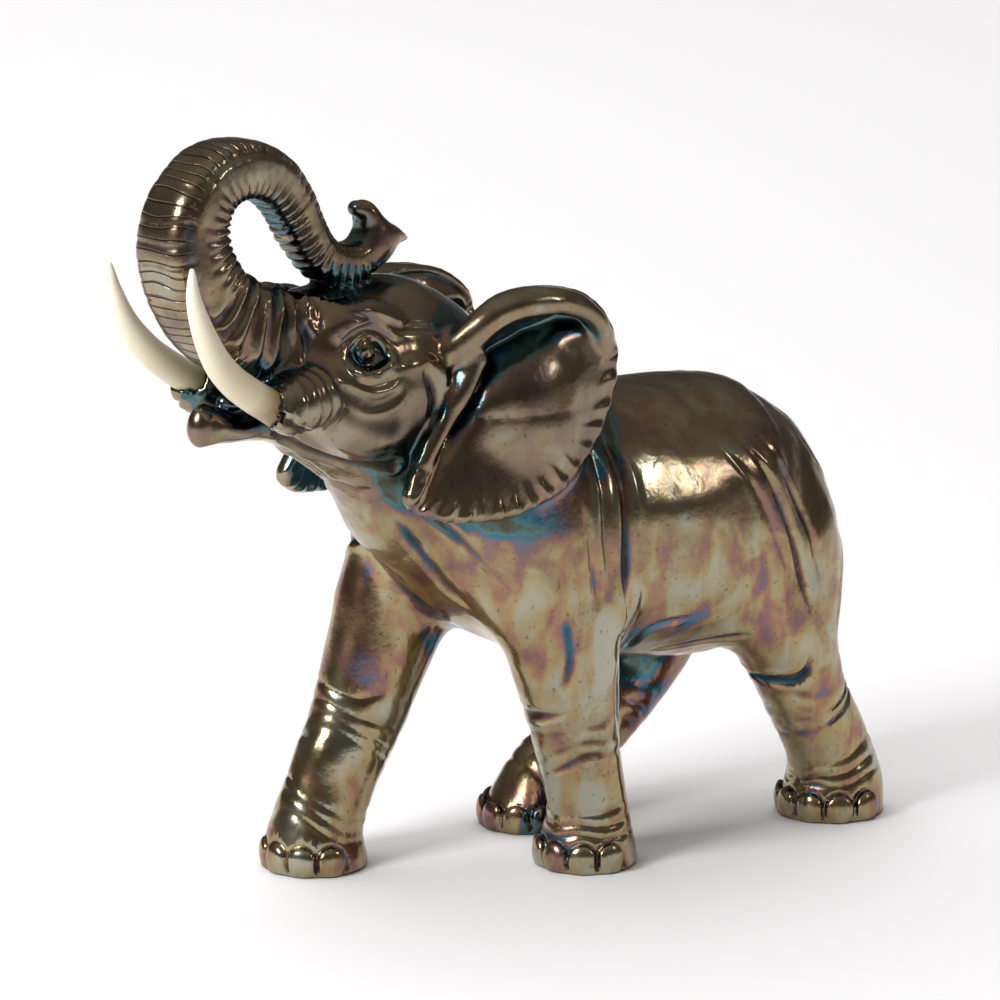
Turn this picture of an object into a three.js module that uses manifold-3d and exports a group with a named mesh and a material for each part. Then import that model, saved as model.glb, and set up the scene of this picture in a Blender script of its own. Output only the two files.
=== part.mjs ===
// A silver elephant figurine, striding, with its trunk thrown up and curled back onto its forehead.
// The elephant is one casting, and its two ivory-coloured tusks are pieces of their own in sockets.
// Millimetres. The elephant faces -Y, its left side is +X, and +Z is up from the floor it stands on.
import * as THREE from "three";
import Module from "manifold-3d";

const wasm = await Module();
wasm.setup();

// Driving sizes.
const FIGURE_HEIGHT = 254; // floor to the top of the trunk's curl
const EAR_THICKNESS = 4.2;
const TUSK_ROOT_RADIUS = 5.4;
const TUSK_TIP_RADIUS = 0.7;
const SOCKET_CLEARANCE = 0.35;
const CELL = 2.5; // grid step of the casting's surface before it is thinned
const CASTING_TRIANGLES = 8450;

// The pose is drawn at this height, and every station below is in these drawing units.
const DRAWN_HEIGHT = 254;
const SCALE = FIGURE_HEIGHT / DRAWN_HEIGHT;

// Uniform Catmull-Rom through rows of numbers, such as [x, y, z, side radius, depth radius].
function splineRows(rows, perSpan) {
  const at = (i) => {
    if (i < 0) return rows[0].map((v, k) => 2 * v - rows[1][k]);
    const n = rows.length - 1;
    if (i > n) return rows[n].map((v, k) => 2 * v - rows[n - 1][k]);
    return rows[i];
  };
  const out = [];
  for (let i = 0; i < rows.length - 1; i++) {
    const [a, b, c, d] = [at(i - 1), at(i), at(i + 1), at(i + 2)];
    for (let j = 0; j < perSpan; j++) {
      const t = j / perSpan;
      out.push(
        b.map((v, k) => {
          const cubic = 3 * (v - c[k]) + d[k] - a[k];
          const square = 2 * a[k] - 5 * v + 4 * c[k] - d[k];
          return v + 0.5 * t * (c[k] - a[k] + t * (square + t * cubic));
        }),
      );
    }
  }
  out.push(rows[rows.length - 1]);
  return out;
}

// A swept form: an ellipse, or a rounded box when squareness is over 2, along a curve of stations.
// Its side radius lies along `side`, and its depth radius across both that and the curve.
function limb(stations, { perSpan = 5, side = [1, 0, 0], squareness = 2 } = {}) {
  const rows = splineRows(stations, perSpan);
  const lo = [Infinity, Infinity, Infinity];
  const hi = [-Infinity, -Infinity, -Infinity];
  for (const r of rows)
    for (let k = 0; k < 3; k++) {
      lo[k] = Math.min(lo[k], r[k] - Math.max(r[3], r[4]));
      hi[k] = Math.max(hi[k], r[k] + Math.max(r[3], r[4]));
    }
  // At each row: where it is, its two radii, and the directions along, across and deep.
  const lateral = new THREE.Vector3(...side);
  const stops = rows.map((row, i) => {
    const before = new THREE.Vector3(...rows[Math.max(i - 1, 0)]);
    const along = new THREE.Vector3(...rows[Math.min(i + 1, rows.length - 1)]).sub(before).normalize();
    const across = lateral.clone().addScaledVector(along, -lateral.dot(along)).normalize();
    return [...row.slice(0, 5), ...along, ...across, ...across.clone().cross(along)];
  });
  const spans = stops.slice(1).map((b, i) => b.map((v, k) => v - stops[i][k]));
  const flat = Float64Array.from(
    spans.flatMap(([ex, ey, ez], i) => {
      const size = ex * ex + ey * ey + ez * ez;
      return [...stops[i].slice(0, 3), ex, ey, ez, 1 / size];
    }),
  );
  // How far a point is past the plane that crosses the curve at a row.
  const beyond = (i, x, y, z) => {
    const r = stops[i];
    return (x - r[0]) * r[5] + (y - r[1]) * r[6] + (z - r[2]) * r[7];
  };
  const last = spans.length - 1;
  const distance = (x, y, z) => {
    let best = Infinity;
    let at = 0;
    for (let i = 0, o = 0; i <= last; i++, o += 7) {
      const px = x - flat[o];
      const py = y - flat[o + 1];
      const pz = z - flat[o + 2];
      let h = (px * flat[o + 3] + py * flat[o + 4] + pz * flat[o + 5]) * flat[o + 6];
      h = h < 0 ? 0 : h > 1 ? 1 : h;
      const dx = px - h * flat[o + 3];
      const dy = py - h * flat[o + 4];
      const dz = pz - h * flat[o + 5];
      const d = dx * dx + dy * dy + dz * dz;
      if (d < best) {
        best = d;
        at = i;
      }
    }
    // The share of the span is where the turning crossing plane meets the point.
    let before = beyond(at, x, y, z);
    let after = beyond(at + 1, x, y, z);
    for (let n = 0; n < 24; n++) {
      if (before < 0 && at > 0) {
        at -= 1;
        after = before;
        before = beyond(at, x, y, z);
      } else if (after > 0 && at < last) {
        at += 1;
        before = after;
        after = beyond(at + 1, x, y, z);
      } else break;
    }
    const t = before <= 0 ? 0 : after >= 0 ? 1 : before / (before - after);
    const [a, e] = [stops[at], spans[at]];
    const qx = x - a[0] - t * e[0];
    const qy = y - a[1] - t * e[1];
    const qz = z - a[2] - t * e[2];
    const wide = a[3] + t * e[3];
    const thick = a[4] + t * e[4];
    const end = Math.min(wide, thick);
    const part = (k) => {
      const [ax, ay, az] = [a[k] + t * e[k], a[k + 1] + t * e[k + 1], a[k + 2] + t * e[k + 2]];
      return qx * ax + qy * ay + qz * az;
    };
    const past = (at === 0 && t === 0) || (at === last && t === 1) ? part(5) / end : 0;
    return roundDistance(part(8) / wide, part(11) / thick, past, wide, thick, end, squareness);
  };
  return { lo, hi, distance };
}

// Signed distance, near the surface, to an ellipsoid or rounded box from shares u, v, w of its radii.
function roundDistance(u, v, w, r1, r2, r3, squareness) {
  let k0 = Math.sqrt(u * u + v * v + w * w);
  const k1 = Math.sqrt((u / r1) ** 2 + (v / r2) ** 2 + (w / r3) ** 2);
  if (k1 < 1e-9) return -Math.min(r1, r2, r3);
  const slope = k0 / k1;
  if (squareness !== 2) {
    const p = squareness;
    k0 = (Math.abs(u) ** p + Math.abs(v) ** p + Math.abs(w) ** p) ** (1 / p);
  }
  return (k0 - 1) * slope;
}

// An ellipsoid with its own pitch about X and yaw about Z, in degrees.
function mass(centre, radii, { pitch = 0, yaw = 0 } = {}) {
  const [about, up] = [pitch, yaw].map(THREE.MathUtils.degToRad);
  const e = new THREE.Matrix4().makeRotationFromEuler(new THREE.Euler(about, 0, up, "ZYX")).elements;
  const reach = Math.max(...radii);
  const distance = (x, y, z) => {
    const [dx, dy, dz] = [x - centre[0], y - centre[1], z - centre[2]];
    const u = (dx * e[0] + dy * e[1] + dz * e[2]) / radii[0];
    const v = (dx * e[4] + dy * e[5] + dz * e[6]) / radii[1];
    const w = (dx * e[8] + dy * e[9] + dz * e[10]) / radii[2];
    return roundDistance(u, v, w, ...radii, 2);
  };
  return { lo: centre.map((c) => c - reach), hi: centre.map((c) => c + reach), distance };
}

function boxDistance(part, x, y, z) {
  const dx = Math.max(part.lo[0] - x, 0, x - part.hi[0]);
  const dy = Math.max(part.lo[1] - y, 0, y - part.hi[1]);
  const dz = Math.max(part.lo[2] - z, 0, z - part.hi[2]);
  return Math.sqrt(dx * dx + dy * dy + dz * dz);
}

// Smooth union: k is the width of the fillet between two forms.
function blend(a, b, k) {
  const h = Math.max(k - Math.abs(a - b), 0);
  return Math.min(a, b) - (h * h) / (4 * k);
}

// Smooth cut of form b out of form a.
const carve = (a, b, k) => -blend(-a, b, k);

// Body, from the chest to the rump: [x, y, z, half width, half height].
const TORSO = limb(
  [
    [0, -63, 134, 21, 25],
    [0, -40, 125, 32, 39],
    [0, -8, 113, 38, 45],
    [0, 25, 108.5, 41, 47.5],
    [0, 52, 106.3, 41.5, 48.5],
    [0, 63, 104.4, 39.8, 45],
    [0, 72, 102.3, 37.2, 41.2],
    [0, 80, 100.1, 34.8, 37.4],
    [0, 88, 97.9, 29.5, 31.4],
    [0, 94, 96.2, 21.5, 23],
    [0, 97, 95.4, 11, 12.5],
  ],
  { perSpan: 6 },
);

// The head is drawn facing -Y and then turned a little to its left about a line up through the neck.
const HEAD_TURN = THREE.MathUtils.degToRad(8);
const HEAD_PIVOT_Y = -45;
function headPoint(x, y) {
  const dy = y - HEAD_PIVOT_Y;
  return [
    x * Math.cos(HEAD_TURN) + dy * Math.sin(HEAD_TURN),
    HEAD_PIVOT_Y - x * Math.sin(HEAD_TURN) + dy * Math.cos(HEAD_TURN),
  ];
}
function fromHead([x, y, z]) {
  const dy = y - HEAD_PIVOT_Y;
  return [
    x * Math.cos(HEAD_TURN) - dy * Math.sin(HEAD_TURN),
    HEAD_PIVOT_Y + x * Math.sin(HEAD_TURN) + dy * Math.cos(HEAD_TURN),
    z,
  ];
}

const NECK = limb([
  [0, -34, 138, 30, 36],
  [0, -58, 156, 27, 34],
  [0, -82, 171, 24, 29],
]);
const SKULL = mass([0, -82, 177], [25, 34, 24], { pitch: 6 });
const FOREHEAD = mass([0, -109, 184], [20, 20, 18.5]);
const JAW = limb([
  [0, -82, 154, 18, 18],
  [0, -106, 163, 14, 12],
  [0, -127, 163.5, 10, 7.5],
  [0, -141, 162.4, 8, 4.8],
  [0, -149, 164, 7.2, 5.8],
  [0, -153, 164.8, 4.4, 6.9],
]);
const TONGUE = limb([[0, -118, 168, 6, 3.4], [0, -132, 168.5, 4.4, 3], [0, -143.5, 170.8, 3, 2.6]]);
const THROAT = limb([
  [0, -110, 158, 10, 9],
  [0, -92, 148, 12, 10],
  [0, -78, 136, 14, 11],
  [0, -62, 121, 17, 13],
]);
const HEAD = [
  { form: NECK, k: 14 },
  { form: THROAT, k: 12 },
  { form: SKULL, k: 12 },
  { form: FOREHEAD, k: 12 },
  { form: JAW, k: 8 },
  { form: TONGUE, k: 2 },
];
const CHEEK = mass([17, -95, 168], [11, 24, 17], { pitch: 20 });
const TRUNK = limb(
  [
    [0, -106, 186, 19, 19],
    [0, -126, 189, 16.5, 17],
    [0, -141, 195, 15, 15.5],
    [0, -151.5, 204, 14, 14.3],
    [0, -157.8, 214.8, 13.3, 13.3],
    [0, -159.3, 224.5, 12.8, 12.6],
    [0, -156.6, 235, 12.2, 11.4],
    [0, -148.3, 242.5, 11.3, 10.4],
    [0, -136, 244.3, 10.3, 9.7],
    [0, -124.4, 239.7, 9, 8.7],
    [0, -116, 230.8, 7.9, 7.8],
    [0, -110.3, 221, 7.2, 7.3],
    [0, -103.6, 212.6, 7, 7],
    [0, -95.1, 209, 6.8, 6.8],
    [0, -86.5, 210, 6.6, 6.3],
    [0, -79.5, 214.4, 6, 5.8],
  ],
  { perSpan: 5, squareness: 3.2 },
);
const TRUNK_LIPS = [
  limb([
    [0, -81, 213, 6, 6.2],
    [0, -81.6, 219, 5.8, 5.4],
    [0, -84, 224, 5, 4],
    [0, -87, 225.4, 3.4, 2.8],
  ]),
  limb([
    [0, -80, 214, 6, 6.4],
    [0, -74.5, 215.6, 5.4, 4.4],
    [0, -69, 214.4, 3.6, 2.4],
    [0, -66.6, 213.7, 2, 1.4],
  ]),
];
const TUSK_SHEATH = limb([
  [15, -110, 176, 11, 11],
  [19, -124, 173, 10.6, 10.6],
  [20, -134, 171.6, 9.6, 9.6],
  [20.3, -139, 172, 8.2, 8.2],
  [20.4, -141.5, 172.6, 5.4, 5.4],
]);

// Legs, from hip or shoulder to the sole. The left fore and the right hind leg carry the stride.
const LEGS = {
  fore_left: limb([
    [23, -34, 128, 16, 24],
    [25, -26, 100, 17, 25],
    [26, -20, 80, 16, 21],
    [26, -16, 58, 14, 17],
    [25.5, -12.5, 40, 13, 14.5],
    [25, -8.5, 21, 13, 13.5],
    [24.5, -8.2, 8, 15.8, 16],
    [24.5, -8.2, 0, 17, 17],
  ]),
  fore_right: limb([
    [-22, -39, 125, 14, 20],
    [-24, -45.5, 100, 16, 23.5],
    [-25, -57, 72, 15, 19.5],
    [-25, -66, 50, 14, 17],
    [-25, -74.5, 33, 13.5, 15.5],
    [-25.5, -81, 17, 14, 15.5],
    [-26, -83, 7, 16.5, 17],
    [-26, -83, 0, 17.3, 17.5],
  ]),
  hind_left: limb([
    [22, 66, 90, 18, 30],
    [25, 72, 78, 16.5, 25],
    [26, 78, 58, 14.5, 17],
    [26, 85, 41, 13.3, 14.8],
    [25.5, 94, 25, 13.3, 15],
    [25, 97.5, 12, 16, 17.5],
    [25, 96.5, 0, 17.8, 18.8],
  ]),
  hind_right: limb([
    [-22, 58, 96, 19, 30],
    [-25, 58, 72, 16.5, 23],
    [-25, 49, 50, 14.5, 17.5],
    [-25, 37, 36, 13.5, 14.5],
    [-25, 24, 24, 13, 13.5],
    [-24.5, 11, 13, 14.5, 15],
    [-24, 4, 0, 16.8, 17.2],
  ]),
};

// Toenails: five round each foot, spaced about the way the foot points, in degrees from -Y to +X.
const NAIL_STEP = 35;
const FEET = [
  { centre: [24.5, -8.2], radius: 16.2, points: 13 },
  { centre: [-26, -83], radius: 16.6, points: 5 },
  { centre: [25, 96.5], radius: 17.4, points: 26 },
  { centre: [-24, 4], radius: 16, points: 2 },
];
const NAILS = FEET.map(({ centre, radius, points }) =>
  [-2, -1, 0, 1, 2].map((n) => {
    const heading = points + n * NAIL_STEP;
    const angle = THREE.MathUtils.degToRad(heading);
    const place = [centre[0] + radius * Math.sin(angle), centre[1] - radius * Math.cos(angle), 4.6];
    return mass(place, [5.2, 2.4, 5.4], { yaw: heading });
  }),
);

// The ear is a curved plate. s runs back and out from the head, t up, and n out of the ear's face.
const EAR_OUTLINE = [
  [-4, 14], [0, 25.5], [7.5, 32], [21.5, 34.5], [37, 31.6], [48, 23.5], [53.5, 8], [50, -8.6], [41.5, -21.5],
  [27, -32], [12, -37.6], [-6, -38.6], [-21, -36.5], [-29, -31], [-25, -21.4], [-14.5, -3], [-8, 7],
];

function closedSpline(points, perSpan) {
  const n = points.length;
  const rows = [...points.slice(n - 1), ...points, ...points.slice(0, 2)];
  return splineRows(rows, perSpan).slice(perSpan, perSpan * (n + 1));
}

// Signed distance to a closed outline in the plane, negative inside.
function outlineDistance(outline, s, t) {
  let best = Infinity;
  let inside = false;
  for (let i = 0, j = outline.length - 1; i < outline.length; j = i++) {
    const [ax, ay] = outline[j];
    const [bx, by] = outline[i];
    const [ex, ey] = [bx - ax, by - ay];
    const h = Math.min(1, Math.max(0, ((s - ax) * ex + (t - ay) * ey) / (ex * ex + ey * ey)));
    best = Math.min(best, (s - ax - h * ex) ** 2 + (t - ay - h * ey) ** 2);
    if (ay > t !== by > t && s < ((bx - ax) * (t - ay)) / (by - ay) + ax) inside = !inside;
  }
  return inside ? -Math.sqrt(best) : Math.sqrt(best);
}

// The deep fold that runs below the ear's rolled top and on down behind its front edge, as stops of
// [s, t, depth].
const FOLD = {
  path: [
    [44, 22, 1.5], [29.5, 22.6, 4.5], [17.6, 19.6, 6.5], [6, 14.6, 7.5],
    [-3, 6.4, 7.5], [-7, -2, 5.5], [-14.5, -12, 3.5], [-22, -22, 1],
  ],
  width: 4.2,
};
function foldDepth(s, t) {
  let best = Infinity;
  let depth = 0;
  for (let i = 1; i < FOLD.path.length; i++) {
    const [as, at, ad] = FOLD.path[i - 1];
    const [bs, bt, bd] = FOLD.path[i];
    const [es, et] = [bs - as, bt - at];
    const h = Math.min(1, Math.max(0, ((s - as) * es + (t - at) * et) / (es * es + et * et)));
    const away = (s - as - h * es) ** 2 + (t - at - h * et) ** 2;
    if (away < best) {
      best = away;
      depth = ad + h * (bd - ad);
    }
  }
  return depth * Math.exp(-best / FOLD.width ** 2);
}

// How far the middle of the ear's sheet stands out of its plane: dished, with a cushion over the
// middle, a lobe that stands out below, and waves round the lower rim.
const EAR_EDGE = closedSpline(EAR_OUTLINE, 3);
const RIM_WAVES = 38;
const RIM_DEPTH = 0.5;
const LOBE_LIFT = 0.3;
const CUSHION = { centre: [20, -4], radii: [20, 16], height: 6.5 };
function earSurface(s, t, toEdge) {
  const dish = -0.0024 * s * s - 0.0012 * t * t;
  const lift = LOBE_LIFT * Math.max(-t - 6, 0) * (1 - 0.6 * THREE.MathUtils.smoothstep(s, 15, 45));
  const [ds, dt] = [(s - CUSHION.centre[0]) / CUSHION.radii[0], (t - CUSHION.centre[1]) / CUSHION.radii[1]];
  const cushion = CUSHION.height * Math.exp(-((ds * ds + dt * dt) ** 1.5));
  const waves = RIM_DEPTH * Math.cos(RIM_WAVES * Math.atan2(t, s)) * Math.exp(-(toEdge * toEdge) / 40);
  return dish + lift + cushion - foldDepth(s, t) + (t < 0.4 * s ? waves : 0);
}

// One ear: the plate with its rolled top and front edges, hung at x, y, z and flared from the head.
function earForm({ x: ex, y: ey, z: ez, flare }) {
  const turn = THREE.MathUtils.degToRad(flare);
  const [sin, cos] = [Math.sin(turn), Math.cos(turn)];
  const reach = 58;
  const plate = {
    lo: [ex - 20, ey - 38, ez - 46],
    hi: [ex + 42, ey + reach, ez + 44],
    distance(x, y, z) {
      const [dx, dy, dz] = [x - ex, y - ey, z - ez];
      const s = dx * sin + dy * cos;
      const n = dx * cos - dy * sin;
      const edge = outlineDistance(EAR_EDGE, s, dz);
      const sheet = Math.abs(n - earSurface(s, dz, Math.min(edge, 0))) * 0.85 - EAR_THICKNESS / SCALE / 2;
      return -blend(-sheet, -edge, 3);
    },
  };
  const along = (s, t, n, r) => [ex + s * sin + n * cos, ey + s * cos - n * sin, ez + t, r, r];
  const roll = limb([
    along(-16, 10, -5, 5),
    along(-6, 17.5, -2, 5.5),
    along(2, 24.6, 1.5, 5.4),
    along(10, 28.8, 3, 5),
    along(22, 30.2, 3, 4.6),
    along(34, 27.6, 1.5, 4),
    along(43, 21, -0.5, 3),
    along(48.5, 11, -3.5, 2.2),
  ]);
  const front = limb([
    along(-1, 12, 0, 4),
    along(-6, 3.6, 1.5, 3.6),
    along(-13, -6, 1.8, 3.2),
    along(-20, -16.5, 3.2, 3),
    along(-25.5, -28, 5.2, 2.6),
  ]);
  return [
    { form: plate, k: 1 },
    { form: roll, k: 4 },
    { form: front, k: 3 },
  ];
}
const EARS = {
  left: earForm({ x: 30, y: -62, z: 165, flare: 18 }),
  right: earForm({ x: 30, y: -62, z: 163, flare: 3 }),
};

const EYE = { centre: [21.2, -104.5, 185], radius: 4.2 };
const EYE_BALL = mass(EYE.centre, [EYE.radius, EYE.radius, EYE.radius]);
const EYE_SOCKET = mass([24.8, -104, 184.4], [5, 8.5, 5], { pitch: -20 });
const BROW = limb([
  [16, -117, 188, 4, 4],
  [19, -111, 194, 4.5, 4.5],
  [19.5, -101, 196, 4.5, 4.5],
  [19, -92, 192, 4, 4],
]);
const TAIL = limb([
  [0, 96, 118, 5.5, 5.5],
  [1, 104.5, 106, 4.5, 4.5],
  [4, 106.5, 90, 3.6, 3.6],
  [7, 106.5, 75, 3.4, 3.4],
  [8.5, 106, 62, 4.6, 4.6],
  [9, 105, 52, 2.5, 2.5],
]);

// Adds form after form to the distance d, passing over those too far away to matter.
function grow(d, part, k, x, y, z) {
  return boxDistance(part, x, y, z) > d + k ? d : blend(d, part.distance(x, y, z), k);
}

// Signed distance to the whole casting, without the tusks' sockets, in drawing units. The feet run on
// below the floor by the allowance, and are then cut flat at it.
const CUT_ALLOWANCE = 2;
const LEG_FORMS = Object.values(LEGS);
function casting(x, y, z) {
  let d = 1e3;
  d = grow(d, TORSO, 1, x, y, z);
  for (let i = 0; i < 4; i++) {
    d = grow(d, LEG_FORMS[i], 10, x, y, z);
    if (z < 14) for (const nail of NAILS[i]) d = grow(d, nail, 1, x, y, z);
  }
  const [hx, hy] = headPoint(x, y);
  const ax = Math.abs(hx);
  for (const { form, k } of HEAD) d = grow(d, form, k, hx, hy, z);
  d = grow(d, CHEEK, 8, ax, hy, z);
  d = grow(d, BROW, 6, ax, hy, z);
  d = grow(d, TUSK_SHEATH, 6, ax, hy, z);
  if (boxDistance(EYE_SOCKET, ax, hy, z) < 4) {
    d = carve(d, EYE_SOCKET.distance(ax, hy, z), 2);
    d = grow(d, EYE_BALL, 1, ax, hy, z);
  }
  let ear = 1e3;
  for (const { form, k } of hx > 0 ? EARS.left : EARS.right) ear = grow(ear, form, k, ax, hy, z);
  d = blend(d, ear, 3);
  let trunk = 1e3;
  trunk = grow(trunk, TRUNK, 1, hx, hy, z);
  for (const lip of TRUNK_LIPS) trunk = grow(trunk, lip, 3, hx, hy, z);
  d = blend(d, trunk, 4);
  d = grow(d, TAIL, 3, x, y, z);
  return Math.max(d, -z - CUT_ALLOWANCE);
}

// Marching tetrahedra over a grid, each cell cut into six that share its long diagonal. Blocks of
// cells that the surface can't reach are passed over.
function polygonise(field, lo, hi, cell) {
  const n = [0, 1, 2].map((k) => Math.ceil((hi[k] - lo[k]) / cell) + 1);
  const index = (i, j, k) => (k * n[1] + j) * n[0] + i;
  const place = (i, j, k) => [lo[0] + i * cell, lo[1] + j * cell, lo[2] + k * cell];
  const values = new Float64Array(n[0] * n[1] * n[2]).fill(NaN);
  const value = (i, j, k) => {
    const at = index(i, j, k);
    if (Number.isNaN(values[at])) values[at] = field(...place(i, j, k)) || 1e-9;
    return values[at];
  };
  const positions = [];
  const triangles = [];
  const cuts = new Map();
  const cutPoint = (a, b) => {
    const [p, q] = a.at < b.at ? [a, b] : [b, a];
    const key = p.at * 8 + (q.corner ^ p.corner);
    if (cuts.has(key)) return cuts.get(key);
    const share = Math.min(0.97, Math.max(0.03, p.value / (p.value - q.value)));
    positions.push(p.place.map((v, k) => v + share * (q.place[k] - v)));
    cuts.set(key, positions.length - 1);
    return positions.length - 1;
  };
  const emit = (a, b, c, outward) => {
    const [p, q, r] = [a, b, c].map((i) => positions[i]);
    const [ux, uy, uz] = [q[0] - p[0], q[1] - p[1], q[2] - p[2]];
    const [vx, vy, vz] = [r[0] - p[0], r[1] - p[1], r[2] - p[2]];
    const facing =
      (uy * vz - uz * vy) * outward[0] + (uz * vx - ux * vz) * outward[1] + (ux * vy - uy * vx) * outward[2];
    triangles.push(facing > 0 ? [a, b, c] : [a, c, b]);
  };
  const paths = [[1, 3], [1, 5], [2, 3], [2, 6], [4, 5], [4, 6]];
  const BLOCK = 6;
  const reach = (Math.sqrt(3) * BLOCK * cell) / 2;
  for (let bk = 0; bk < n[2] - 1; bk += BLOCK)
    for (let bj = 0; bj < n[1] - 1; bj += BLOCK)
      for (let bi = 0; bi < n[0] - 1; bi += BLOCK) {
        const middle = place(bi + BLOCK / 2, bj + BLOCK / 2, bk + BLOCK / 2);
        if (Math.abs(field(...middle)) > 1.5 * reach) continue;
        for (let k = bk; k < Math.min(bk + BLOCK, n[2] - 1); k++)
          for (let j = bj; j < Math.min(bj + BLOCK, n[1] - 1); j++)
            for (let i = bi; i < Math.min(bi + BLOCK, n[0] - 1); i++) {
              const corners = Array.from({ length: 8 }, (_, c) => {
                const at = [i + (c & 1), j + ((c >> 1) & 1), k + (c >> 2)];
                return { corner: c, at: index(...at), place: place(...at), value: value(...at) };
              });
              const inside = corners.filter((c) => c.value < 0).length;
              if (inside === 0 || inside === 8) continue;
              for (const [m, o] of paths) {
                const tet = [corners[0], corners[m], corners[o], corners[7]];
                const inner = tet.filter((c) => c.value < 0);
                const outer = tet.filter((c) => c.value >= 0);
                if (!inner.length || !outer.length) continue;
                const mean = (list, axis) => list.reduce((sum, c) => sum + c.place[axis], 0) / list.length;
                const outward = [0, 1, 2].map((axis) => mean(outer, axis) - mean(inner, axis));
                if (inner.length === 2) {
                  const [a, b, c, d] = [
                    cutPoint(inner[0], outer[0]),
                    cutPoint(inner[0], outer[1]),
                    cutPoint(inner[1], outer[1]),
                    cutPoint(inner[1], outer[0]),
                  ];
                  emit(a, b, c, outward);
                  emit(a, c, d, outward);
                } else {
                  const [one, rest] = inner.length === 1 ? [inner[0], outer] : [outer[0], inner];
                  emit(...rest.map((c) => cutPoint(one, c)), outward);
                }
              }
            }
      }
  return { positions, triangles };
}

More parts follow.
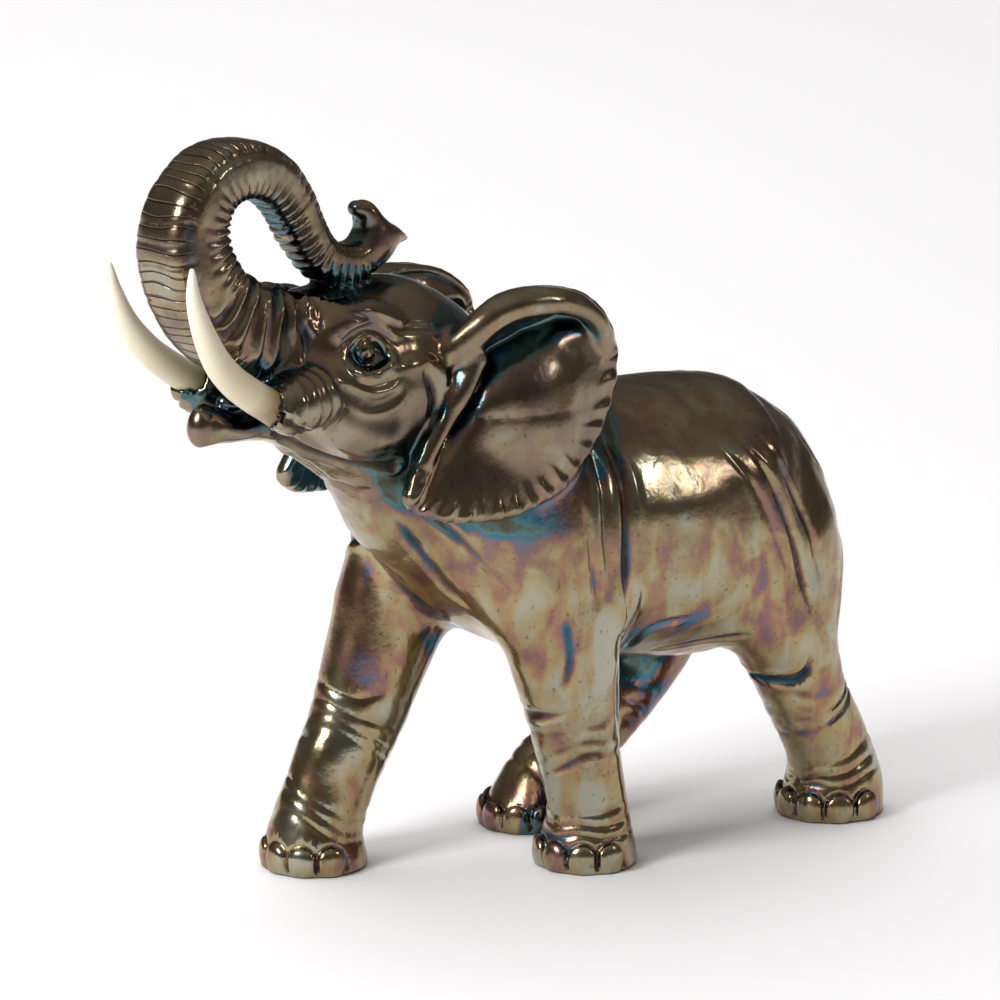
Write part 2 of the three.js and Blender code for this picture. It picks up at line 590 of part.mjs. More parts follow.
// Thins a closed mesh to a triangle count by collapsing the edges that change its surface least.
function thin({ positions, triangles }, target) {
  const faces = triangles.map((f) => [...f]);
  const around = positions.map(() => new Set());
  faces.forEach((f, i) => f.forEach((v) => around[v].add(i)));
  const normalOf = (a, b, c) => {
    const [ux, uy, uz] = [b[0] - a[0], b[1] - a[1], b[2] - a[2]];
    const [vx, vy, vz] = [c[0] - a[0], c[1] - a[1], c[2] - a[2]];
    return [uy * vz - uz * vy, uz * vx - ux * vz, ux * vy - uy * vx];
  };
  const quadrics = positions.map(() => new Float64Array(10));
  for (const f of faces) {
    const [a, b, c] = f.map((v) => positions[v]);
    const normal = normalOf(a, b, c);
    const area = Math.hypot(...normal);
    if (area < 1e-12) continue;
    const [x, y, z] = normal.map((v) => v / area);
    const w = -(x * a[0] + y * a[1] + z * a[2]);
    const plane = [x * x, x * y, x * z, x * w, y * y, y * z, y * w, z * z, z * w, w * w];
    for (const v of f) plane.forEach((value, k) => (quadrics[v][k] += value * area));
  }
  const errorAt = (q, [x, y, z]) =>
    q[0] * x * x + 2 * q[1] * x * y + 2 * q[2] * x * z + 2 * q[3] * x +
    q[4] * y * y + 2 * q[5] * y * z + 2 * q[6] * y + q[7] * z * z + 2 * q[8] * z + q[9];
  const EVENNESS = 2e-4; // keeps flat places from long slivers
  const plan = (a, b) => {
    const q = quadrics[a].map((v, k) => v + quadrics[b][k]);
    const [p, r] = [positions[a], positions[b]];
    const middle = p.map((v, k) => (v + r[k]) / 2);
    // The point of least error solves three equations, with these cofactors.
    const [xx, xy, xz, xw, yy, yz, yw, zz, zw] = q;
    const [c0, c1, c2] = [yy * zz - yz * yz, yz * xz - xy * zz, xy * yz - yy * xz];
    const [c3, c4, c5] = [xx * zz - xz * xz, xy * xz - xx * yz, xx * yy - xy * xy];
    const det = xx * c0 + xy * c1 + xz * c2;
    let best = middle;
    const size = Math.hypot(p[0] - r[0], p[1] - r[1], p[2] - r[2]);
    if (Math.abs(det) > 1e-6 * (xx + yy + zz) ** 3) {
      const x = -(c0 * xw + c1 * yw + c2 * zw) / det;
      const y = -(c1 * xw + c3 * yw + c4 * zw) / det;
      const z = -(c2 * xw + c4 * yw + c5 * zw) / det;
      if (Math.hypot(x - middle[0], y - middle[1], z - middle[2]) < size) best = [x, y, z];
    }
    const choices = [best, middle, p, r];
    const costs = choices.map((c) => errorAt(q, c));
    const pick = costs.indexOf(Math.min(...costs));
    return { cost: Math.max(0, costs[pick]) + EVENNESS * size ** 4, to: choices[pick] };
  };
  const heap = [];
  const push = (item) => {
    let i = heap.push(item) - 1;
    while (i > 0) {
      const up = (i - 1) >> 1;
      if (heap[up].cost <= heap[i].cost) break;
      [heap[up], heap[i]] = [heap[i], heap[up]];
      i = up;
    }
  };
  const pop = () => {
    const top = heap[0];
    const last = heap.pop();
    if (heap.length) {
      heap[0] = last;
      for (let i = 0; ; ) {
        let least = i;
        for (const child of [2 * i + 1, 2 * i + 2])
          if (child < heap.length && heap[child].cost < heap[least].cost) least = child;
        if (least === i) break;
        [heap[least], heap[i]] = [heap[i], heap[least]];
        i = least;
      }
    }
    return top;
  };
  const age = new Int32Array(positions.length);
  const offer = (a, b) => push({ a, b, ages: age[a] + age[b], ...plan(a, b) });
  const neighbours = (v) => {
    const found = new Set();
    for (const f of around[v]) for (const u of faces[f]) if (u !== v) found.add(u);
    return found;
  };
  for (const f of faces)
    for (let i = 0; i < 3; i++) if (f[i] < f[(i + 1) % 3]) offer(f[i], f[(i + 1) % 3]);
  let left = faces.length;
  while (left > target && heap.length) {
    const { a, b, ages, to } = pop();
    if (!around[a].size || !around[b].size || age[a] + age[b] !== ages) continue;
    const shared = [...around[a]].filter((f) => around[b].has(f));
    if (shared.length !== 2) continue;
    const nearA = neighbours(a);
    if ([...neighbours(b)].filter((v) => nearA.has(v)).length !== 2) continue;
    const flips = [...around[a], ...around[b]].some((f) => {
      if (shared.includes(f)) return false;
      const before = faces[f].map((v) => positions[v]);
      const after = faces[f].map((v) => (v === a || v === b ? to : positions[v]));
      const [n0, n1] = [normalOf(...before), normalOf(...after)];
      const dot = n0[0] * n1[0] + n0[1] * n1[1] + n0[2] * n1[2];
      return dot < 0.2 * Math.hypot(...n0) * Math.hypot(...n1);
    });
    if (flips) continue;
    positions[a] = to;
    quadrics[b].forEach((v, k) => (quadrics[a][k] += v));
    for (const f of shared) {
      faces[f].forEach((v) => around[v].delete(f));
      faces[f] = null;
    }
    for (const f of around[b]) {
      faces[f] = faces[f].map((v) => (v === b ? a : v));
      around[a].add(f);
    }
    around[b].clear();
    age[a] += 1;
    age[b] += 1;
    left -= 2;
    for (const v of neighbours(a)) {
      offer(a, v);
    }
  }
  return { positions, triangles: faces.filter(Boolean) };
}

// A closed triangle list as a solid of the joining library, in millimetres.
function solidFrom({ positions, triangles }) {
  const used = new Map();
  const verts = [];
  const tris = triangles.flat().map((v) => {
    if (!used.has(v)) {
      used.set(v, used.size);
      verts.push(...positions[v].map((c) => c * SCALE));
    }
    return used.get(v);
  });
  return new wasm.Manifold(
    new wasm.Mesh({ numProp: 3, vertProperties: new Float32Array(verts), triVerts: new Uint32Array(tris) }),
  );
}

// A tapered horn of round section along a curve of points, closed by a point at each end.
function horn(path, radii, sides) {
  const positions = [];
  const triangles = [];
  const curve = new THREE.CatmullRomCurve3(path.map((p) => new THREE.Vector3(...p)));
  const steps = radii.length - 1;
  const frames = curve.computeFrenetFrames(steps);
  radii.forEach((radius, i) => {
    const centre = curve.getPointAt(i / steps);
    for (let j = 0; j < sides; j++) {
      const angle = (2 * Math.PI * j) / sides;
      const out = frames.normals[i]
        .clone()
        .multiplyScalar(radius * Math.cos(angle))
        .addScaledVector(frames.binormals[i], radius * Math.sin(angle));
      positions.push(centre.clone().add(out).toArray());
    }
  });
  const first = positions.push(curve.getPointAt(0).toArray()) - 1;
  const tip = curve.getPointAt(1).addScaledVector(frames.tangents[steps], radii[steps]);
  const last = positions.push(tip.toArray()) - 1;
  for (let j = 0; j < sides; j++) {
    const next = (j + 1) % sides;
    triangles.push([first, next, j], [last, steps * sides + j, steps * sides + next]);
    for (let i = 0; i < steps; i++) {
      const [a, b] = [i * sides + j, i * sides + next];
      triangles.push([a, b, b + sides], [a, b + sides, a + sides]);
    }
  }
  return { positions, triangles };
}

function meshOf(name, solid, material) {
  const made = solid.getMesh();
  const geometry = new THREE.BufferGeometry();
  geometry.setAttribute("position", new THREE.BufferAttribute(made.vertProperties, 3));
  geometry.setIndex(new THREE.BufferAttribute(made.triVerts, 1));
  geometry.computeVertexNormals();
  const mesh = new THREE.Mesh(geometry, material);
  mesh.name = name;
  return mesh;
}

// Each tusk's curve in the head's own frame, from its root in the socket to its tip.
const TUSK_PATHS = {
  left: [
    [18, -137, 169.5],
    [19.6, -143.5, 173.2],
    [20.4, -150.4, 177.2],
    [20.6, -157.6, 182.4],
    [20.6, -164.2, 189.6],
    [20.5, -169.6, 199.8],
    [20, -172.8, 210.5],
    [19.6, -173, 219.5],
  ],
  right: [
    [-18, -131, 168.5],
    [-19.5, -138, 173.8],
    [-20.3, -146.3, 178.6],
    [-20.5, -157, 186.6],
    [-20.5, -165.6, 196.7],
    [-20, -170.8, 207.5],
    [-19.5, -173.2, 216.5],
  ],
};
const TUSK_STEPS = 14;
function tuskForm(side, extra) {
  const path = TUSK_PATHS[side].map(fromHead);
  const radii = Array.from({ length: TUSK_STEPS + 1 }, (_, i) => {
    const fullness = (1 - (i / TUSK_STEPS) ** 2.2) ** 0.8;
    return (TUSK_TIP_RADIUS + (TUSK_ROOT_RADIUS - TUSK_TIP_RADIUS) * fullness + extra) / SCALE;
  });
  return solidFrom(horn(path, radii, 16));
}

const silver = new THREE.MeshStandardMaterial({ color: 0x8c8070, roughness: 0.3, metalness: 1 });
const ivory = new THREE.MeshStandardMaterial({ color: 0xe6dfc6, roughness: 0.35, metalness: 0 });

const grid = { lo: [-72.3, -182.2, -4.7], hi: [72.3, 128, 260] };
const rough = polygonise(casting, grid.lo, grid.hi, CELL);
const cast = solidFrom(thin(rough, CASTING_TRIANGLES)).trimByPlane([0, 0, 1], 0);
const bored = cast.subtract(tuskForm("left", SOCKET_CLEARANCE)).subtract(tuskForm("right", SOCKET_CLEARANCE));

// The part's origin is under the middle of everything, on the floor.
const pieces = { elephant: bored, tusk_left: tuskForm("left", 0), tusk_right: tuskForm("right", 0) };
const box = new THREE.Box3();
for (const piece of Object.values(pieces)) {
  const { min, max } = piece.boundingBox();
  box.expandByPoint(new THREE.Vector3(...min)).expandByPoint(new THREE.Vector3(...max));
}
const shift = [-(box.min.x + box.max.x) / 2, -(box.min.y + box.max.y) / 2, 0];

const figure = new THREE.Group();
for (const [name, piece] of Object.entries(pieces))
  figure.add(meshOf(name, piece.translate(shift), name === "elephant" ? silver : ivory));

export default figure;
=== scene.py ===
import math

import bpy
import numpy as np
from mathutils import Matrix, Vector


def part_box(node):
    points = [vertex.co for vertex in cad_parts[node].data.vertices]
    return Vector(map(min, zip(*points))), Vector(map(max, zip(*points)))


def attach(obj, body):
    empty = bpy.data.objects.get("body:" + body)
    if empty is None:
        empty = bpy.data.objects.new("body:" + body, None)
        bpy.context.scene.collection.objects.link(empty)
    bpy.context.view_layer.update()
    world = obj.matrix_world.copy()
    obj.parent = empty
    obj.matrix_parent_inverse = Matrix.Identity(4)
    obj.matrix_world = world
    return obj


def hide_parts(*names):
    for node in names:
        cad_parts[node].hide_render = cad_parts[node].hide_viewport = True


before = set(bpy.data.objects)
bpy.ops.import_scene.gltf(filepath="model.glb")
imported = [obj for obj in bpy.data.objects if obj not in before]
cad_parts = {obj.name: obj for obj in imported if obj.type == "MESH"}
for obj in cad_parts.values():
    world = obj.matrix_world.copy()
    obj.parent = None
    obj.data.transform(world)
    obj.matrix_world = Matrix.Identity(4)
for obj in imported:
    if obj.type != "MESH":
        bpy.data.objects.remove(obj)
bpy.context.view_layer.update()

# The forms below are drawn in millimetres. The elephant faces -Y, its left side is +X, and +Z is up.
EAR_THICKNESS = 4.2
TUSK_ROOT_RADIUS = 5.4
TUSK_TIP_RADIUS = 0.7
SOCKET_CLEARANCE = 0.35
CELL = 0.8  # grid step of the casting's surface, mm
CASTING_TRIANGLES = 190000
SEED = 7
PER_METRE = 1000  # drawing millimetres
FAR = 1e3  # a distance beyond every form, mm


# Curves, as rows of numbers.
def spline_rows(rows, per_span):
    """Uniform Catmull-Rom through rows of numbers, such as [x, y, z, side radius, depth radius]."""
    r = np.array(rows, float)
    r = np.vstack([2 * r[0] - r[1], r, 2 * r[-1] - r[-2]])
    t = (np.arange(per_span) / per_span)[None, :, None]
    a, b, c, d = (r[i : len(r) - 3 + i, None, :] for i in range(4))
    out = b + 0.5 * t * (c - a + t * (2 * a - 5 * b + 4 * c - d + t * (3 * (b - c) + d - a)))
    return np.vstack([out.reshape(-1, r.shape[1]), r[-2]])


def run_along(path):
    """Distance along a curve from its first point, at each of its points."""
    return np.concatenate([[0], np.cumsum(np.linalg.norm(np.diff(path, axis=0), axis=1))])


def directions(path):
    """Unit vectors along a curve and across it, the second as near to +X as it can be."""
    along = np.gradient(path, axis=0)
    along /= np.linalg.norm(along, axis=1)[:, None]
    across = np.array([1.0, 0, 0]) - along[:, :1] * along
    across /= np.linalg.norm(across, axis=1)[:, None]
    return along, across


def smooth(x, lo, hi):
    """Rises from 0 at lo to 1 at hi, without a corner."""
    t = np.clip((x - lo) / (hi - lo), 0, 1)
    return t * t * (3 - 2 * t)


def bell(x, width):
    """1 where x is 0, falling away to either side of it."""
    return np.exp(-((x / width) ** 2))


# Forms. Each has a box (lo, hi) and a signed distance over an array of points, negative inside.
def round_distance(u, v, w, r1, r2, r3, squareness):
    """Signed distance, near the surface, to an ellipsoid or rounded box from shares of its radii."""
    k0 = np.sqrt(u * u + v * v + w * w)
    k1 = np.sqrt((u / r1) ** 2 + (v / r2) ** 2 + (w / r3) ** 2) + 1e-9
    slope = k0 / k1
    if squareness != 2:
        p = squareness
        k0 = (np.abs(u) ** p + np.abs(v) ** p + np.abs(w) ** p) ** (1 / p)
    return np.where(k1 < 1e-7, -np.minimum(r1, np.minimum(r2, r3)), (k0 - 1) * slope)


class Limb:
    """A swept form along a curve of stations: an ellipse, or a rounded box if squareness is over 2."""

    eased = True  # distances near the surface are true ones where the radius changes fast
    at_once = 60000  # points whose nearest stations are looked for together
    most_steps = 24  # from the nearest station to the span that a point lies beside

    def __init__(self, stations, per_span=5, squareness=2):
        rows = spline_rows(stations, per_span)
        reach = rows[:, 3:5].max(1)[:, None]
        self.lo, self.hi = (rows[:, :3] - reach).min(0), (rows[:, :3] + reach).max(0)
        place = rows[:, :3]
        along, across = directions(place)
        # Columns: the place, both radii, and unit vectors along, across and deep.
        self.stops = np.hstack([rows[:, :5], along, across, np.cross(across, along)])
        self.spans = np.diff(self.stops, axis=0)
        self.squareness = squareness
        self.length = run_along(place)
        taper = np.gradient(rows[:, 3:5].max(1), self.length)
        self.steep = np.sqrt(1 + taper**2)  # how much faster than one the field rises at each row

    def locate(self, p):
        """For each point: the span, the share of it, and the offset's parts across, deep and along."""
        stops, last = self.stops, len(self.spans) - 1
        at = np.empty(len(p), int)
        for i in range(0, len(p), self.at_once):
            q = p[i : i + self.at_once]
            at[i : i + self.at_once] = ((stops[:, :3] ** 2).sum(1) - 2 * q @ stops[:, :3].T).argmin(1)

        def beyond(i, pick=slice(None)):
            r = stops[i]
            return ((p[pick] - r[:, :3]) * r[:, 5:8]).sum(1)

        at = np.clip(np.where(beyond(at) < 0, at - 1, at), 0, last)
        before, after = beyond(at), beyond(at + 1)
        for _ in range(self.most_steps):
            step = np.where((before < 0) & (at > 0), -1, np.where((after > 0) & (at < last), 1, 0))
            pick = np.nonzero(step)[0]
            if not len(pick):
                break
            at[pick] += step[pick]
            before[pick], after[pick] = beyond(at[pick], pick), beyond(at[pick] + 1, pick)
        gap = np.where(before - after == 0, 1, before - after)
        t = np.where(before <= 0, 0, np.where(after >= 0, 1, before / gap))
        now = stops[at] + t[:, None] * self.spans[at]
        q = p - now[:, :3]
        parts = [(q * now[:, k : k + 3]).sum(1) for k in (8, 11, 5)]
        ends = ((at == 0) & (t == 0)) | ((at == last) & (t == 1))
        return at, t, now, parts, ends

    def run(self, at, t):
        """Distance along the curve from its first station."""
        return self.length[at] + t * np.diff(self.length)[at]

    def distance(self, p):
        at, t, now, (side, deep, along), ends = self.locate(p)
        wide, thick = now[:, 3], now[:, 4]
        end = np.minimum(wide, thick)
        past = np.where(ends, along / end, 0)
        found = round_distance(side / wide, deep / thick, past, wide, thick, end, self.squareness)
        return found / (self.steep[at] + t * np.diff(self.steep)[at]) if Limb.eased else found


class Mass:
    """An ellipsoid with its own pitch about X and yaw about Z, in degrees."""

    def __init__(self, centre, radii, pitch=0, yaw=0):
        cp, sp = math.cos(math.radians(pitch)), math.sin(math.radians(pitch))
        cy, sy = math.cos(math.radians(yaw)), math.sin(math.radians(yaw))
        self.axes = np.array([[cy, -sy * cp, sy * sp], [sy, cy * cp, -cy * sp], [0, sp, cp]])
        self.centre, self.radii = np.array(centre, float), np.array(radii, float)
        self.lo, self.hi = self.centre - max(radii), self.centre + max(radii)

    def distance(self, p):
        u, v, w = (((p - self.centre) @ self.axes) / self.radii).T
        return round_distance(u, v, w, *self.radii, 2)


def box_distance(form, p):
    return np.linalg.norm(np.maximum(np.maximum(form.lo - p, p - form.hi), 0), axis=1)


def blend(a, b, k):
    """Smooth union: k is the width of the fillet between two forms."""
    h = np.maximum(k - np.abs(a - b), 0)
    return np.minimum(a, b) - h * h / (4 * k)


def grow(d, form, k, p):
    """Adds a form to the distances d, passing over points too far from it to matter."""
    near = np.nonzero(box_distance(form, p) <= d + k)[0]
    d[near] = blend(d[near], form.distance(p[near]), k)


# The body, from the chest to the rump: [x, y, z, half width, half height].
TORSO = Limb(
    [
        [0, -63, 134, 21, 25], [0, -40, 125, 32, 39], [0, -8, 113, 38, 45],
        [0, 25, 108.5, 41, 47.5], [0, 52, 106.3, 41.5, 48.5], [0, 63, 104.4, 39.8, 45],
        [0, 72, 102.3, 37.2, 41.2], [0, 80, 100.1, 34.8, 37.4], [0, 88, 97.9, 29.5, 31.4],
        [0, 94, 96.2, 21.5, 23], [0, 97, 95.4, 11, 12.5],
    ],
    per_span=6,
)

# The head is drawn facing -Y and then turned a little to its left about a line up through the neck.
HEAD_TURN = math.radians(8)
HEAD_PIVOT = np.array([0, -45.0, 0])
HEAD_AXES = np.array(
    [
        [math.cos(HEAD_TURN), -math.sin(HEAD_TURN), 0],
        [math.sin(HEAD_TURN), math.cos(HEAD_TURN), 0],
        [0, 0, 1],
    ]
)


def to_head(p):
    return (p - HEAD_PIVOT) @ HEAD_AXES + HEAD_PIVOT


def from_head(p):
    return (np.asarray(p, float) - HEAD_PIVOT) @ HEAD_AXES.T + HEAD_PIVOT


HEAD = [
    (Limb([[0, -34, 138, 30, 36], [0, -58, 156, 27, 34], [0, -82, 171, 24, 29]]), 14),
    (Limb([[0, -110, 158, 10, 9], [0, -92, 148, 12, 10], [0, -78, 136, 14, 11], [0, -62, 121, 17, 13]]), 12),
    (Mass([0, -82, 177], [25, 34, 24], pitch=6), 12),
    (Mass([0, -109, 184], [20, 20, 18.5]), 12),
    (
        Limb([
            [0, -82, 154, 18, 18], [0, -106, 163, 14, 12], [0, -127, 163.5, 10, 7.5],
            [0, -141, 162.4, 8, 4.8], [0, -149, 164, 7.2, 5.8], [0, -153, 164.8, 4.4, 6.9],
        ]),
        8,
    ),
    (Limb([[0, -118, 168, 6, 3.4], [0, -132, 168.5, 4.4, 3], [0, -143.5, 170.8, 3, 2.6]]), 2),
]
CHEEK = Mass([17, -95, 168], [11, 24, 17], pitch=20)
TRUNK = Limb(
    [
        [0, -106, 186, 19, 19], [0, -126, 189, 16.5, 17], [0, -141, 195, 15, 15.5],
        [0, -151.5, 204, 14, 14.3], [0, -157.8, 214.8, 13.3, 13.3],
        [0, -159.3, 224.5, 12.8, 12.6], [0, -156.6, 235, 12.2, 11.4],
        [0, -148.3, 242.5, 11.3, 10.4], [0, -136, 244.3, 10.3, 9.7],
        [0, -124.4, 239.7, 9, 8.7], [0, -116, 230.8, 7.9, 7.8], [0, -110.3, 221, 7.2, 7.3],
        [0, -103.6, 212.6, 7, 7], [0, -95.1, 209, 6.8, 6.8], [0, -86.5, 210, 6.6, 6.3],
        [0, -79.5, 214.4, 6, 5.8],
    ],
    squareness=3.2,
)
TRUNK_LIPS = [
    Limb([[0, -81, 213, 6, 6.2], [0, -81.6, 219, 5.8, 5.4], [0, -84, 224, 5, 4], [0, -87, 225.4, 3.4, 2.8]]),
    Limb([
        [0, -80, 214, 6, 6.4], [0, -74.5, 215.6, 5.4, 4.4],
        [0, -69, 214.4, 3.6, 2.4], [0, -66.6, 213.7, 2, 1.4],
    ]),
]
TUSK_SHEATH = Limb([
    [15, -110, 176, 11, 11], [19, -124, 173, 10.6, 10.6], [20, -134, 171.6, 9.6, 9.6],
    [20.3, -139, 172, 8.2, 8.2], [20.4, -141.5, 172.6, 5.4, 5.4],
])

# Legs, from hip or shoulder to the sole, and then round each foot where its nails go: the sole's
# centre, how far out the nails are, and the way the toes point in degrees from -Y towards +X.
LEGS = {
    "fore_left": Limb([
        [23, -34, 128, 16, 24], [25, -26, 100, 17, 25], [26, -20, 80, 16, 21],
        [26, -16, 58, 14, 17], [25.5, -12.5, 40, 13, 14.5], [25, -8.5, 21, 13, 13.5],
        [24.5, -8.2, 8, 15.8, 16], [24.5, -8.2, 0, 17, 17],
    ]),
    "fore_right": Limb([
        [-22, -39, 125, 14, 20], [-24, -45.5, 100, 16, 23.5], [-25, -57, 72, 15, 19.5],
        [-25, -66, 50, 14, 17], [-25, -74.5, 33, 13.5, 15.5], [-25.5, -81, 17, 14, 15.5],
        [-26, -83, 7, 16.5, 17], [-26, -83, 0, 17.3, 17.5],
    ]),
    "hind_left": Limb([
        [22, 66, 90, 18, 30], [25, 72, 78, 16.5, 25], [26, 78, 58, 14.5, 17],
        [26, 85, 41, 13.3, 14.8], [25.5, 94, 25, 13.3, 15], [25, 97.5, 12, 16, 17.5],
        [25, 96.5, 0, 17.8, 18.8],
    ]),
    "hind_right": Limb([
        [-22, 58, 96, 19, 30], [-25, 58, 72, 16.5, 23], [-25, 49, 50, 14.5, 17.5],
        [-25, 37, 36, 13.5, 14.5], [-25, 24, 24, 13, 13.5], [-24.5, 11, 13, 14.5, 15],
        [-24, 4, 0, 16.8, 17.2],
    ]),
}
NAIL_STEP = 35  # degrees from one nail to the next
NAIL_HEIGHT = 4.6
NAIL_RADII = [5.2, 2.4, 5.4]
NAIL_REACH = (9, 14)  # no nail goes further out than this from its ring, or higher, mm
FEET = {
    "fore_left": ((24.5, -8.2), 16.2, 13),
    "fore_right": ((-26, -83), 16.6, 5),
    "hind_left": ((25, 96.5), 17.4, 26),
    "hind_right": ((-24, 4), 16, 2),
}


def nails_of(centre, radius, points):
    nails = []
    for n in (-2, -1, 0, 1, 2):
        heading = points + n * NAIL_STEP
        angle = math.radians(heading)
        x, y = centre[0] + radius * math.sin(angle), centre[1] - radius * math.cos(angle)
        nails.append(Mass([x, y, NAIL_HEIGHT], NAIL_RADII, yaw=heading))
    return nails


NAILS = {name: nails_of(*foot) for name, foot in FEET.items()}

# The ear is a curved plate. s runs back and out from the head, t up, and n out of the ear's face.
EAR_OUTLINE = [
    [-4, 14], [0, 25.5], [7.5, 32], [21.5, 34.5], [37, 31.6], [48, 23.5], [53.5, 8], [50, -8.6],
    [41.5, -21.5], [27, -32], [12, -37.6], [-6, -38.6], [-21, -36.5], [-29, -31], [-25, -21.4],
    [-14.5, -3], [-8, 7],
]


def closed_spline(points, per_span):
    rows = points[-1:] + points + points[:2]
    return spline_rows(rows, per_span)[per_span : per_span * (len(points) + 1)]


def outline_distance(outline, s, t):
    """Signed distance to a closed outline in the plane, negative inside."""
    best = np.full(len(s), np.inf)
    inside = np.zeros(len(s), bool)
    for (ax, ay), (bx, by) in zip(np.roll(outline, 1, 0), outline):
        ex, ey = bx - ax, by - ay
        h = np.clip(((s - ax) * ex + (t - ay) * ey) / (ex * ex + ey * ey), 0, 1)
        best = np.minimum(best, (s - ax - h * ex) ** 2 + (t - ay - h * ey) ** 2)
        if ay != by:
            inside ^= ((ay > t) != (by > t)) & (s < (bx - ax) * (t - ay) / (by - ay) + ax)
    return np.where(inside, -1, 1) * np.sqrt(best)


# The deep fold that runs below the ear's rolled top and on down behind its front edge, as stops of
# [s, t, depth].
FOLD_PATH = [
    [44, 22, 1.5], [29.5, 22.6, 4.5], [17.6, 19.6, 6.5], [6, 14.6, 7.5], [-3, 6.4, 7.5], [-7, -2, 5.5],
    [-14.5, -12, 3.5], [-22, -22, 1],
]
FOLD_WIDTH = 4.2


def fold_depth(s, t):
    best, depth = np.full(len(s), np.inf), np.zeros(len(s))
    for (as_, at, ad), (bs, bt, bd) in zip(FOLD_PATH, FOLD_PATH[1:]):
        es, et = bs - as_, bt - at
        h = np.clip(((s - as_) * es + (t - at) * et) / (es * es + et * et), 0, 1)
        away = (s - as_ - h * es) ** 2 + (t - at - h * et) ** 2
        depth = np.where(away < best, ad + h * (bd - ad), depth)
        best = np.minimum(away, best)
    return depth * np.exp(-best / FOLD_WIDTH**2)


EAR_EDGE = closed_spline(EAR_OUTLINE, 3)
RIM_WAVES = 38
RIM_DEPTH = 0.5
LOBE_LIFT = 0.3  # how steeply the lobe below stands out from the neck
DISH = (0.0024, 0.0012)  # how fast the sheet curves back along s and along t
SHEET_SLOPE = 0.85  # the true distance from the curved sheet as a share of that along n
CUSHION = {"centre": (20, -4), "radii": (20, 16), "height": 6.5}


def ear_surface(s, t, to_edge):
    """How far the middle of the ear's sheet stands out of its plane."""
    dish = -DISH[0] * s * s - DISH[1] * t * t
    lift = LOBE_LIFT * np.maximum(-t - 6, 0) * (1 - 0.6 * smooth(s, 15, 45))
    (cs, ct), (rs, rt) = CUSHION["centre"], CUSHION["radii"]
    round_ = ((s - cs) / rs) ** 2 + ((t - ct) / rt) ** 2
    cushion = CUSHION["height"] * np.exp(-(round_**1.5))
    waves = RIM_DEPTH * np.cos(RIM_WAVES * np.arctan2(t, s)) * np.exp(-to_edge * to_edge / 40)
    return dish + lift + cushion - fold_depth(s, t) + np.where(t < 0.4 * s, waves, 0)


class EarPlate:
    """The ear's sheet, hung at x, y, z and flared from the head by an angle in degrees."""

    def __init__(self, x, y, z, flare):
        self.hang = np.array([x, y, z], float)
        self.sin, self.cos = math.sin(math.radians(flare)), math.cos(math.radians(flare))
        self.lo, self.hi = self.hang + [-20, -38, -46], self.hang + [42, 58, 44]

    def sheet(self, p):
        d = p - self.hang
        return d[:, 0] * self.sin + d[:, 1] * self.cos, d[:, 2], d[:, 0] * self.cos - d[:, 1] * self.sin

    def place(self, s, t, n):
        return [
            self.hang[0] + s * self.sin + n * self.cos,
            self.hang[1] + s * self.cos - n * self.sin,
            self.hang[2] + t,
        ]

    def distance(self, p):
        s, t, n = self.sheet(p)
        edge = outline_distance(EAR_EDGE, s, t)
        sheet = np.abs(n - ear_surface(s, t, np.minimum(edge, 0))) * SHEET_SLOPE - EAR_THICKNESS / 2
        return -blend(-sheet, -edge, 3)


def ear_forms(x, y, z, flare):
    """One ear: the plate with its rolled top and front edges."""
    plate = EarPlate(x, y, z, flare)

    def edge(*rows):
        return Limb([plate.place(s, t, n) + [r, r] for s, t, n, r in rows])

    roll = edge(
        (-16, 10, -5, 5), (-6, 17.5, -2, 5.5), (2, 24.6, 1.5, 5.4), (10, 28.8, 3, 5),
        (22, 30.2, 3, 4.6), (34, 27.6, 1.5, 4), (43, 21, -0.5, 3), (48.5, 11, -3.5, 2.2),
    )
    front = edge(
        (-1, 12, 0, 4), (-6, 3.6, 1.5, 3.6), (-13, -6, 1.8, 3.2),
        (-20, -16.5, 3.2, 3), (-25.5, -28, 5.2, 2.6),
    )
    return [(plate, 1), (roll, 4), (front, 3)]


EARS = {"left": ear_forms(30, -62, 165, 18), "right": ear_forms(30, -62, 163, 3)}

EYE_CENTRE = [21.2, -104.5, 185]
EYE_BALL = Mass(EYE_CENTRE, [4.2, 4.2, 4.2])
EYE_SOCKET = Mass([24.8, -104, 184.4], [5, 8.5, 5], pitch=-20)
BROW = Limb(
    [[16, -117, 188, 4, 4], [19, -111, 194, 4.5, 4.5], [19.5, -101, 196, 4.5, 4.5], [19, -92, 192, 4, 4]]
)
TAIL = Limb([
    [0, 96, 118, 5.5, 5.5], [1, 104.5, 106, 4.5, 4.5], [4, 106.5, 90, 3.6, 3.6],
    [7, 106.5, 75, 3.4, 3.4], [8.5, 106, 62, 4.6, 4.6], [9, 105, 52, 2.5, 2.5],
])


